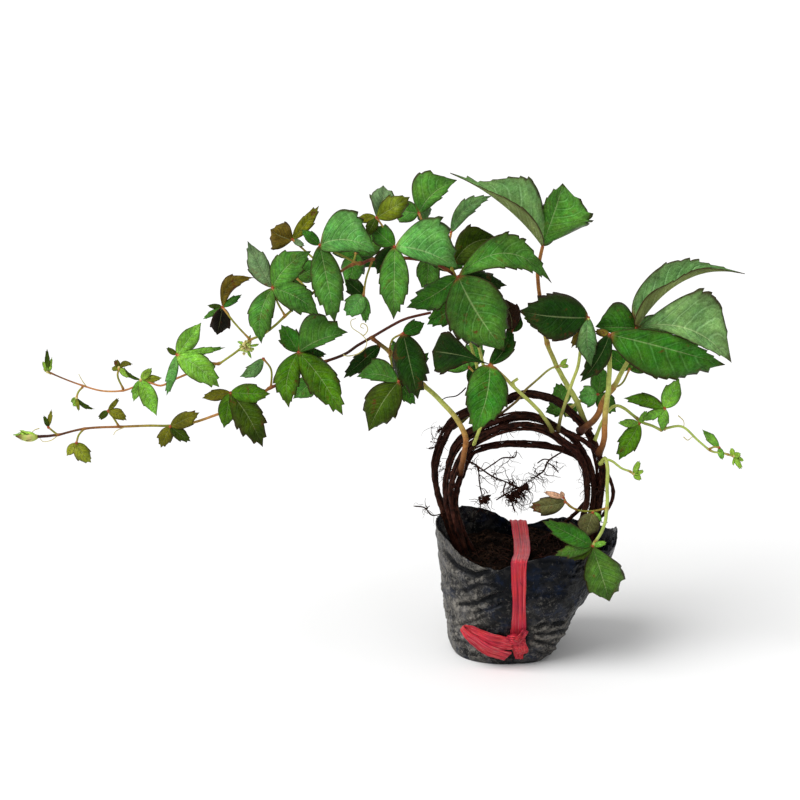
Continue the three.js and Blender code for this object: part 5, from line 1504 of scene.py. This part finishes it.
# The loop, the cut end and the turns of the knot: upper and lower edge, each across, up and proud of the film
LOOP = [
    ((-5, 5.6, 3.4), (-5.6, -0.6, 3.4)), ((-8.4, 6.2, 4.4), (-9.2, -1.8, 4.6)),
    ((-13, 8.6, 4.2), (-14, -0.4, 5)), ((-18.5, 10.8, 3.6), (-19, 1.6, 5.2)),
    ((-25.4, 12.8, 3), (-24.8, 4.8, 4.8)), ((-30, 13.4, 2.6), (-30.4, 6.8, 4.2)),
    ((-33.4, 12.6, 3), (-34.6, 9.2, 3.4)), ((-34.2, 11.6, 4.4), (-35.2, 7.8, 4.6)),
    ((-30.8, 10.4, 5.6), (-33, 4, 5)), ((-25.6, 7.4, 6), (-29.4, 0.2, 4.8)),
    ((-19.6, 2.6, 6), (-23.8, -5.2, 4)), ((-13.6, -1.2, 5.4), (-18, -8.2, 3)),
    ((-8.2, -4.4, 4.4), (-12.8, -10.6, 1.8)),
]
TAIL = [((-1.6, 6, 3), (-7.6, 3, 3.2)), ((-0.6, 1.6, 4.6), (-7.6, -0.6, 4.4)),
        ((0.6, -2, 4.8), (-6.2, -3.4, 4.6)), ((0.2, -5, 3.6), (-4.8, -6, 3.4)),
        ((-1.2, -6.6, 1.4), (-3.4, -6.9, 1.4))]
WRAPS = [
    [((-10.4, 7.6, 2), (-11, 3.6, 2)), ((-7.2, 8, 5.6), (-8, 3, 6)),
     ((-3.6, 6.4, 5.8), (-4.4, 1.4, 6.2)), ((-0.6, 3.4, 2.2), (-1.4, -0.6, 2.2))],
    [((-9.6, 3.6, 2.2), (-6.6, 0.2, 2.2)), ((-6.4, 7.2, 6.6), (-3.6, 3.8, 6.8)),
     ((-3.2, 9.6, 4), (-0.6, 6.6, 3.8)), ((-1.6, 10.8, 1.4), (0.8, 8.2, 1.2))],
]


def ribbon_tie():
    """The band round the bag with its knot, loop and tail."""
    draw = random.Random(7)
    body = Body()
    strip(body, band_rungs(), 260, draw, 1.0)
    for edges, rows, pleats in ((LOOP, 90, 1.5), (TAIL, 26, 1.4), (WRAPS[0], 24, 1.6), (WRAPS[1], 24, 1.6)):
        strip(body, [(on_front(*first), on_front(*second)) for first, second in edges], rows, draw, pleats)
    heart = on_front(-5.6, 4.6, 2.6) * MM
    body.add(pebble(heart, (4.6 * MM, 2.8 * MM, 4.4 * MM), draw, PLAIN, 4))
    return body


# The woody hoop and its roots

def bark_tube(path, thick, draw, sides=14, knobs=0.5):
    """A woody strand with ridges, swollen nodes and stubs of old side shoots."""
    wood = bpy.context.scene.creeper_wood
    shift = Vector((draw.uniform(-50, 50), 0, 0))
    last = len(path) - 1
    nodes = [(draw.random(), draw.uniform(*ANY_TURN)) for _ in range(round(knobs * last * 0.12))]
    frames = list(frames_along(path))
    length = sum((b - a).length for a, b in zip(path, path[1:]))

    def radius(share, angle):
        at = round(share * last)
        spot = (path[at] + sideways(frames[at], angle) * thick * 0.5 * MM) / MM + shift
        rough = 0.5 * noise(spot / 4.6) + 0.28 * noise(spot / 1.9)
        swell = 0.0
        for node, turn in nodes:
            far = (share - node) * length / (0.42 * thick * MM)
            facing = 0.5 + 0.5 * cos(angle - turn)
            swell += exp(-far * far) * (0.18 + 0.5 * facing ** 4)
        ends = min(1, 0.45 + 12 * min(share, 1 - share))
        return 0.5 * thick * MM * ends * (1 + wood.knobs * (rough + swell))

    return tube(path, radius, sides)


# The solids' strands and roots are thicker than the real ones
STRAND_SLIM = 0.84
ROOT_SLIM = 0.6
# Strands at least this thick, in millimetres, have thin stems wound round them
THICK_STRAND = 3.3
WINDINGS = 2
CRUMB_LUMPS = 9


def wound_round(path, away, draw):
    """The path of a thin stem that winds loosely round another for part of its length."""
    first = draw.randint(0, len(path) // 3)
    last = draw.randint(2 * len(path) // 3, len(path) - 1)
    turn, turning = draw.uniform(*ANY_TURN), draw.choice((-1, 1)) * draw.uniform(0.015, 0.03)
    frames = list(frames_along(path))
    wound = []
    for spot in range(first, last, 2):
        way = sideways(frames[spot], turn + turning * spot)
        share = (spot - first) / (last - first)
        close = 0.4 + 0.6 * ease(min(share, 1 - share), 0, 0.06)
        wound.append(path[spot] + away * close * way)
    return smooth_line(wound, 1.3 * MM)


def woody_hoop():
    """The strands of old vine that wind round one another, rooted in the soil on both sides."""
    wood = bpy.context.scene.creeper_wood
    draw = random.Random(wood.seed)
    body = Body()
    for thick, points in STRANDS:
        path = seen_line(points, 1.1)
        body.add(bark_tube(path, thick * STRAND_SLIM, draw))
        if thick < THICK_STRAND:
            continue
        for _ in range(WINDINGS):
            slim = draw.uniform(1.1, 2.0)
            winding = wound_round(path, 0.5 * (STRAND_SLIM * thick + slim) * MM, draw)
            body.add(bark_tube(winding, slim, draw, 9))
    for thick, points in ROOTS:
        path = seen_line(points, 0.9)
        body.add(bark_tube(path, thick * ROOT_SLIM, draw, 8, 0.8))
    for centre, size in CRUMBS:
        for _ in range(CRUMB_LUMPS):
            jitter = Vector(draw.gauss(0, 0.33 * s) for s in size)
            lump = [draw.uniform(0.2, 0.42) * s * MM for s in size]
            body.add(pebble(seen(Vector(centre) + jitter), lump, draw, PLAIN, 2))
    return body


# Where fine roots hang: places seen across, up and in depth, how many start there and how long they run
ROOT_TANGLES = [
    ((-3, 93, -7), 60, 9), ((-8, 88, -8), 40, 8), ((-25, 88, -7), 26, 7), ((-9, 98, -8), 18, 9),
    ((-20, 102, -8), 12, 9), ((-30, 107, -7), 12, 8), ((-10, 112, -9), 8, 8), ((3, 99, -8), 12, 8),
    ((7, 103, -8), 16, 9), ((15, 110, -8), 12, 8), ((-54, 122, 0), 14, 8), ((-60, 83, 0), 8, 7),
    ((-52, 130, 0), 12, 8), ((-50, 108, 2), 10, 7), ((42, 92, -4), 12, 8),
    ((38, 98, -4), 9, 8), ((-46, 104, 2), 9, 8), ((30, 122, -4), 8, 8), ((-12, 131, -5), 10, 9),
    ((8, 133, -5), 9, 8), ((40, 78, -2), 8, 8), ((-42, 76, -2), 8, 8), ((33, 110, -6), 6, 9),
]
TWIGS = [
    (0.9, [(-36, 155, -4), (-39, 152, -5), (-42, 150, -5), (-48, 149, -6), (-51.3, 147.1, -7)]),
    (0.5, [(33, 108, -6), (31.4, 110, -7), (33, 112, -7.4), (34.8, 110.2, -7)]),
    (0.5, [(0, 94, -7), (4, 91, -8), (3, 86, -9), (-3, 84, -9)]),
    (0.5, [(-12, 92, -9), (-7, 88.5, -9), (-9, 84, -9.5)]),
]


def root_hairs():
    """Fine roots and dead twigs, tangled round the hoop."""
    draw = random.Random(23)
    body = Body()
    for start, count, reach in ROOT_TANGLES:
        for _ in range(count):
            way = Vector(draw.uniform(-1, 1) for _ in range(3))
            run = [seen(Vector(start) + Vector(draw.gauss(0, 1.6) for _ in range(3)))]
            for _ in range(draw.randint(4, 7)):
                stray = 0.9 * Vector(draw.uniform(-1, 1) for _ in range(3))
                way = (way + stray - Vector((0, 0, 0.12))).normalized()
                run.append(run[-1] + way * MM * reach * draw.uniform(0.16, 0.3))
            thick = draw.uniform(0.12, 0.32) * MM
            path = smooth_line(run, 1.1 * MM)
            body.add(tube(path, tapering(thick, 0.6), 5))
    for thick, points in TWIGS:
        path = seen_line(points, 0.8)
        body.add(tube(path, tapering(0.5 * thick * MM, 0.4), 7))
    return body


# Tendrils: places seen across, up and in depth
TENDRILS = [
    [(-264, 156, -5), (-266.5, 159.6, -5.5), (-268.4, 163.2, -6)],
    [(-303.3, 129, -4), (-301, 127.4, -4), (-299.4, 126.6, -4)],
    [(-292, 130.6, -3), (-295.2, 129.4, -4), (-297, 127, -4)],
    [(-280.7, 126.4, -5), (-285, 123.4, -5), (-289.9, 122.7, -5), (-291.5, 124.5, -5)],
    [(-240, 131.5, -6.2), (-243, 130.4, -8), (-246.2, 128.8, -9), (-247.5, 126.6, -9)],
    [(-110, 174.8, 0), (-107, 174, -6), (-100.8, 175.4, -13), (-96.3, 179.2, -17), (-95.6, 183, -18),
     (-98.8, 187, -18), (-104.6, 191.4, -17), (-104.9, 195.3, -16), (-102, 196.5, -15)],
    [(-99, 187.2, -18), (-97.6, 186.3, -18), (-95, 189.5, -18), (-96, 192.6, -18),
     (-98.6, 193.4, -18), (-99.2, 191.4, -18), (-97.4, 190.6, -17.4)],
    [(91.3, 138.3, 6), (94.5, 135, 5), (94.6, 132, 4.4), (93, 131.6, 4)],
    [(94.5, 125.5, 3), (97, 123.5, 2.6), (100, 125.5, 2.4), (101.9, 124.4, 2.1)],
]
# The cluster of young leaves and the ends of the shoots: place, length and the way it points, as seen
BUDS = [
    ((-168, 180, -21), 150, 6), ((-168, 179, -21), 200, 6), ((-167, 181, -21), 75, 6),
    ((-166, 180, -21), 10, 6), ((-167, 178, -21), -70, 6), ((-294, 126.6, -6), 172, 11),
    ((-294, 125, -6), 186, 10), ((-298, 127, -6), 156, 6.4), ((-303.5, 127.2, -6), 190, 4.5),
    ((125, 113.8, 0), -60, 6), ((126, 112.6, 0.5), -20, 5), ((125, 113, 0), -100, 5), ((65, 103, -9), 60, 6),
    ((65, 102.5, -9), -30, 5), ((-287, 166, -4), 95, 6), ((-286.5, 165.5, -4), 60, 4),
]


# The tuft of pale flower buds on the upper vine, and the fat bud that ends the lower one
TUFT = (-167.8, 179.6, -21)
TUFT_REACH = 4.8
TUFT_BUDS = 36
TUFT_STALK = 0.3
TENDRIL_RADIUS = 0.36
END_BUD = [(-292.4, 125.8, -5), (-295.5, 125.3, -5), (-299, 125.1, -5), (-303, 125.7, -5),
           (-306.3, 126.2, -5)]
END_BUD_RADIUS = 2.3


def tendrils():
    """The pale tendrils and the unopened young leaves at the ends of the shoots."""
    draw = random.Random(5)
    body = Body()
    tint = STEM_TINTS["tendril"]
    for points in TENDRILS:
        path = seen_line(points, 0.7)
        body.add(tube(path, tapering(TENDRIL_RADIUS * MM, 0.45), 6, tint), GREEN)
    for start, heading, length in BUDS:
        turn = radians(heading)
        tip = Vector(start) + length * way_of(turn, 0.15)
        blade = (*tip, 0.34 * length, 0.3, 32, draw.uniform(-40, 40))
        leaflet(body, seen(start), blade, LEAF_TINTS["young"], draw, tint)
    for _ in range(TUFT_BUDS):
        out = Vector(draw.gauss(0, 1) for _ in range(3)).normalized() * TUFT_REACH * draw.uniform(0.45, 1)
        path = smooth_line([seen(TUFT), seen(Vector(TUFT) + out)], 0.8 * MM)
        body.add(tube(path, tapering(TUFT_STALK * MM, 0), 5, tint), GREEN)
        size = draw.uniform(0.6, 1.05) * MM
        pale = STEM_TINTS[draw.choice(("tendril", "lime"))]
        body.add(pebble(path[-1], (size, size, 1.3 * size), draw, pale, 1), GREEN)
    path = seen_line(END_BUD, 0.5)
    colours = [STEM_TINTS[name] for name in ("olive", "lime", "tendril", "lime", "wilted", "umber")]

    def bud_radius(share, angle):
        swell = sin(pi * (0.04 + 0.92 * share ** 0.8)) ** 0.7
        return END_BUD_RADIUS * MM * swell * (1 + 0.12 * cos(3 * angle + 4 * share))

    body.add(tube(path, bud_radius, 14, lambda share: between(colours, share)), GREEN)
    return body


# Stage

FLOOR_REACH = 6
LIGHT_HEADING = Vector((0.75, 0.45, -1.0))


def lay_floor(scene):
    """The plain pale floor."""
    finish = Finish("pale_floor", Roughness=0.85)
    cloud = spread(finish.place, 3.0)
    pale = tuple(scene.creeper_stage.floor)
    dim = tuple(0.96 * value for value in pale)
    finish.base = mixed(cloud, dim, pale)
    finish.end(0.85)
    mesh = bmesh.new()
    bmesh.ops.create_grid(mesh, x_segments=1, y_segments=1, size=FLOOR_REACH)
    data = bpy.data.meshes.new("floor")
    mesh.to_mesh(data)
    mesh.free()
    data.materials.append(finish.material)
    floor = bpy.data.objects.new("floor", data)
    scene.collection.objects.link(floor)


def hang_lights(scene):
    """The soft light from the upper left and the light from all round."""
    look = scene.creeper_stage
    lamp = bpy.data.lights.new("main_light", "SUN")
    lamp.energy, lamp.angle = look.main_strength, look.soft_angle
    made = bpy.data.objects.new("main_light", lamp)
    made.rotation_euler = LIGHT_HEADING.to_track_quat("-Z", "Y").to_euler()
    scene.collection.objects.link(made)
    world = bpy.data.worlds.new("studio")
    world.use_nodes = True
    sky = world.node_tree.nodes["Background"]
    sky.inputs["Color"].default_value = (*look.sky, 1)
    sky.inputs["Strength"].default_value = look.sky_strength
    scene.world = world
    scene.view_settings.view_transform = "Standard"


def set_camera(scene):
    """The camera at the eye that the plant's places are seen by."""
    lens = bpy.data.cameras.new("camera")
    lens.sensor_width = SENSOR_WIDTH
    lens.lens = SENSOR_WIDTH * EYE_DISTANCE / PICTURE_WIDTH
    camera = bpy.data.objects.new("camera", lens)
    camera.location = EYE
    camera.rotation_euler = (pi / 2 - EYE_FALL, 0, 0)
    scene.collection.objects.link(camera)
    scene.camera = camera


# Settings

def paint(name, description, code):
    """A setting that is a colour, from its usual six digits."""
    return FloatVectorProperty(
        name=name, description=description, size=3, subtype="COLOR", default=colour(code))


def measure(name, description, default):
    """A setting in metres."""
    return FloatProperty(name=name, description=description, default=default, unit="LENGTH")


def portion(name, description, default):
    """A setting that is a share."""
    return FloatProperty(name=name, description=description, default=default, subtype="FACTOR")


class CreeperBag(bpy.types.PropertyGroup):
    """The bag's film"""
    film_thickness: measure("Film", "Thickness of the film with its clinging soil", 0.0006)
    crumple: measure("Crumple", "How far the film's creases stand in and out", 0.001)
    film: paint("Film colour", "The clean black film", 0x04060A)
    bloom: paint("Bloom", "The film's grey-blue bloom", 0x10203A)
    # The dust colour, also laid as painted sheen and as painted highlights on crests
    mud_and_sheen: paint("Mud", "Dried mud on the film", 0xA09B92)


class CreeperSoil(bpy.types.PropertyGroup):
    """The soil"""
    crumbs: IntProperty(name="Crumbs", description="How many crumbs lie on the soil", default=420)
    fibres: IntProperty(name="Fibres", description="How many dead roots lie on the soil", default=70)
    wet: paint("Wet soil", "The darkest soil", 0x060403)
    dry: paint("Drier soil", "The crumbs that have dried", 0x1A100B)
    grit: paint("Grit", "Pale grains and fibre", 0x5A4030)


class CreeperRibbon(bpy.types.PropertyGroup):
    """The ribbon"""
    thickness: measure("Ribbon", "Thickness of the ribbon", 0.0004)
    crimson: paint("Crimson", "The ribbon's own colour", 0xD23440)
    deep: paint("Deep crimson", "The colour between the ribs", 0x84182A)
    # The pale pink of the painted highlights
    painted_highlight: paint("Rubbed", "Where the ribbon is rubbed pale", 0xDE8480)


class CreeperWood(bpy.types.PropertyGroup):
    """The woody hoop"""
    knobs: portion("Knobs", "How rough and knobbly the old vine is", 0.55)
    seed: IntProperty(name="Seed", description="Which knobs the strands have", default=12)
    bark: paint("Bark", "The bark's brown", 0x3C1E15)
    furrow: paint("Furrows", "The dark between the ridges", 0x100907)
    # The ridges' grey-brown stands for wear and for painted highlights
    wear_and_highlight: paint("Worn bark", "Grey-brown worn ridges", 0x5E4638)


class CreeperLeaf(bpy.types.PropertyGroup):
    """Leaves"""
    blade: measure("Blade", "Thickness of a leaf blade", 0.00045)
    tooth: measure("Tooth", "How far the largest teeth stand out", 0.0013)
    wave: portion("Wave", "How wavy the edges are, as a share of the breadth", 0.035)
    quilt: portion("Quilting", "How far it swells between its veins, as a share of the breadth", 0.014)
    vein: paint("Veins", "Pale midrib and side veins", 0xA9B47C)
    # Underside: the paler green of the leaves' backs, darkened towards olive as painted shade
    underside: paint("Underside", "The paler underside", 0x7A7A3E)
    margin: paint("Margin", "The thin dark edge and the tip", 0x34201A)
    blotch: paint("Blotches", "Red-brown blotches", 0x5E2C1A)


class CreeperStage(bpy.types.PropertyGroup):
    """Floor and lights"""
    floor: FloatVectorProperty(
        name="Floor", description="The pale floor", size=3, subtype="COLOR", default=(0.88, 0.88, 0.88))
    sky: FloatVectorProperty(
        name="Surrounding", description="The light from all round", size=3, subtype="COLOR",
        default=(1.0, 1.0, 1.0))
    sky_strength: FloatProperty(
        name="Surrounding strength", description="How strong the light from all round is", default=0.6)
    main_strength: FloatProperty(
        name="Main light", description="How strong the soft light from the upper left is", default=2.8)
    soft_angle: FloatProperty(
        name="Softness", description="How wide the main light is", default=radians(50), subtype="ANGLE")


# Operators

class BuildBag(bpy.types.Operator):
    """Builds the bag of black film"""
    bl_idname = "creeper.build_bag"
    bl_label = "Bag"

    def execute(self, context):
        bag_film().piece("creased_bag", ["creased_film"], "bag_film", "nursery_bag")
        return {"FINISHED"}


class BuildSoil(bpy.types.Operator):
    """Builds the soil with its crumbs and dead roots"""
    bl_idname = "creeper.build_soil"
    bl_label = "Soil"

    def execute(self, context):
        soil_bed().piece("soil_bed", ["moist_soil", "old_bark"], "soil", "soil")
        return {"FINISHED"}


class BuildRibbon(bpy.types.Operator):
    """Builds the ribbon with its knot and loop"""
    bl_idname = "creeper.build_ribbon"
    bl_label = "Ribbon"

    def execute(self, context):
        ribbon_tie().piece("tied_ribbon", ["raffia_ribbon"], "ribbon", "tie_ribbon")
        return {"FINISHED"}


class BuildHoop(bpy.types.Operator):
    """Builds the woody hoop of old vine and its roots"""
    bl_idname = "creeper.build_hoop"
    bl_label = "Woody hoop"

    def execute(self, context):
        woody_hoop().piece("old_vine_hoop", ["old_bark"], "old_wood", "wood_hoop")
        root_hairs().piece("fine_roots", ["old_bark"], "old_wood", "wood_hoop")
        return {"FINISHED"}


class BuildVines(bpy.types.Operator):
    """Builds the two long vines that trail to the left"""
    bl_idname = "creeper.build_vines"
    bl_label = "Trailing vines"

    def execute(self, context):
        grow(UPPER_VINE, 101, 0.58, 0.2).piece("upper_vine", PLANT, "vine", "vine_upper")
        grow(LOWER_VINE, 102, 0.62, 0.2).piece("lower_vine", PLANT, "vine", "vine_lower")
        return {"FINISHED"}


class BuildShoots(bpy.types.Operator):
    """Builds the upright leafy shoots"""
    bl_idname = "creeper.build_shoots"
    bl_label = "Upright shoots"

    def execute(self, context):
        grow_all(110, "shoot", [
            (FRONT_SHOOT, "front_shoot", "shoot_front"), (CROWN_SHOOT, "crown_shoot", "shoot_crown"),
            (DARK_SHOOT, "dark_shoot", "shoot_dark"), (LONG_SHOOT, "long_shoot", "shoot_long"),
            (RIGHT_SHOOT, "right_shoot", "shoot_right"), (BEHIND_SHOOT, "behind_shoot", "shoot_behind"),
        ])
        return {"FINISHED"}


class BuildYoungShoots(bpy.types.Operator):
    """Builds the young shoots: the bud, the side trailer, the hanging shoot and the one at the back"""
    bl_idname = "creeper.build_young_shoots"
    bl_label = "Young shoots"

    def execute(self, context):
        grow_all(130, "young_shoot", [
            (BUD_SHOOT, "bud_shoot", "shoot_bud"), (SIDE_TRAILER, "side_trailer", "trailer_right"),
            (HANGING_SHOOT, "hanging_shoot", "shoot_hanging"), (BACK_SHOOT, "back_shoot", "shoot_back"),
        ])
        return {"FINISHED"}


class BuildTendrils(bpy.types.Operator):
    """Builds the tendrils and the unopened leaves at the shoots' ends"""
    bl_idname = "creeper.build_tendrils"
    bl_label = "Tendrils and buds"

    def execute(self, context):
        tendrils().piece("tendrils_and_buds", PLANT, "young_shoot")
        return {"FINISHED"}


class BuildStage(bpy.types.Operator):
    """Lays the floor, hangs the lights and sets the camera"""
    bl_idname = "creeper.build_stage"
    bl_label = "Stage"

    def execute(self, context):
        lay_floor(context.scene)
        hang_lights(context.scene)
        set_camera(context.scene)
        return {"FINISHED"}


class CreeperPanel(bpy.types.Panel):
    """Lists the settings and the steps in the order they are built"""
    bl_idname = "VIEW3D_PT_creeper"
    bl_label = "Potted Creeper"
    bl_space_type = "VIEW_3D"
    bl_region_type = "UI"
    bl_category = "Creeper"

    def draw(self, context):
        layout = self.layout
        for settings in SETTINGS:
            box = layout.box()
            group = getattr(context.scene, settings)
            for name in group.bl_rna.properties.keys():
                if name not in ("rna_type", "name"):
                    box.prop(group, name)
        for operator in OPERATORS:
            layout.operator(operator.bl_idname)


SETTINGS = {
    "creeper_bag": CreeperBag, "creeper_soil": CreeperSoil, "creeper_ribbon": CreeperRibbon,
    "creeper_wood": CreeperWood, "creeper_leaf": CreeperLeaf, "creeper_stage": CreeperStage,
}
OPERATORS = (
    BuildBag, BuildSoil, BuildRibbon, BuildHoop, BuildVines, BuildShoots, BuildYoungShoots, BuildTendrils,
    BuildStage,
)
CLASSES = (*SETTINGS.values(), *OPERATORS, CreeperPanel)


def register():
    """Adds the settings, the steps and the panel to Blender."""
    for made in CLASSES:
        bpy.utils.register_class(made)
    for name, settings in SETTINGS.items():
        setattr(bpy.types.Scene, name, PointerProperty(type=settings))


def unregister():
    """Takes them out again."""
    for name in SETTINGS:
        delattr(bpy.types.Scene, name)
    for made in reversed(CLASSES):
        bpy.utils.unregister_class(made)


def main():
    """Builds the plant and its stage."""
    register()
    bpy.ops.creeper.build_bag()
    bpy.ops.creeper.build_soil()
    bpy.ops.creeper.build_ribbon()
    bpy.ops.creeper.build_hoop()
    bpy.ops.creeper.build_vines()
    bpy.ops.creeper.build_shoots()
    bpy.ops.creeper.build_young_shoots()
    bpy.ops.creeper.build_tendrils()
    bpy.ops.creeper.build_stage()
    bpy.context.view_layer.update()


if __name__ == "__main__":
    main()
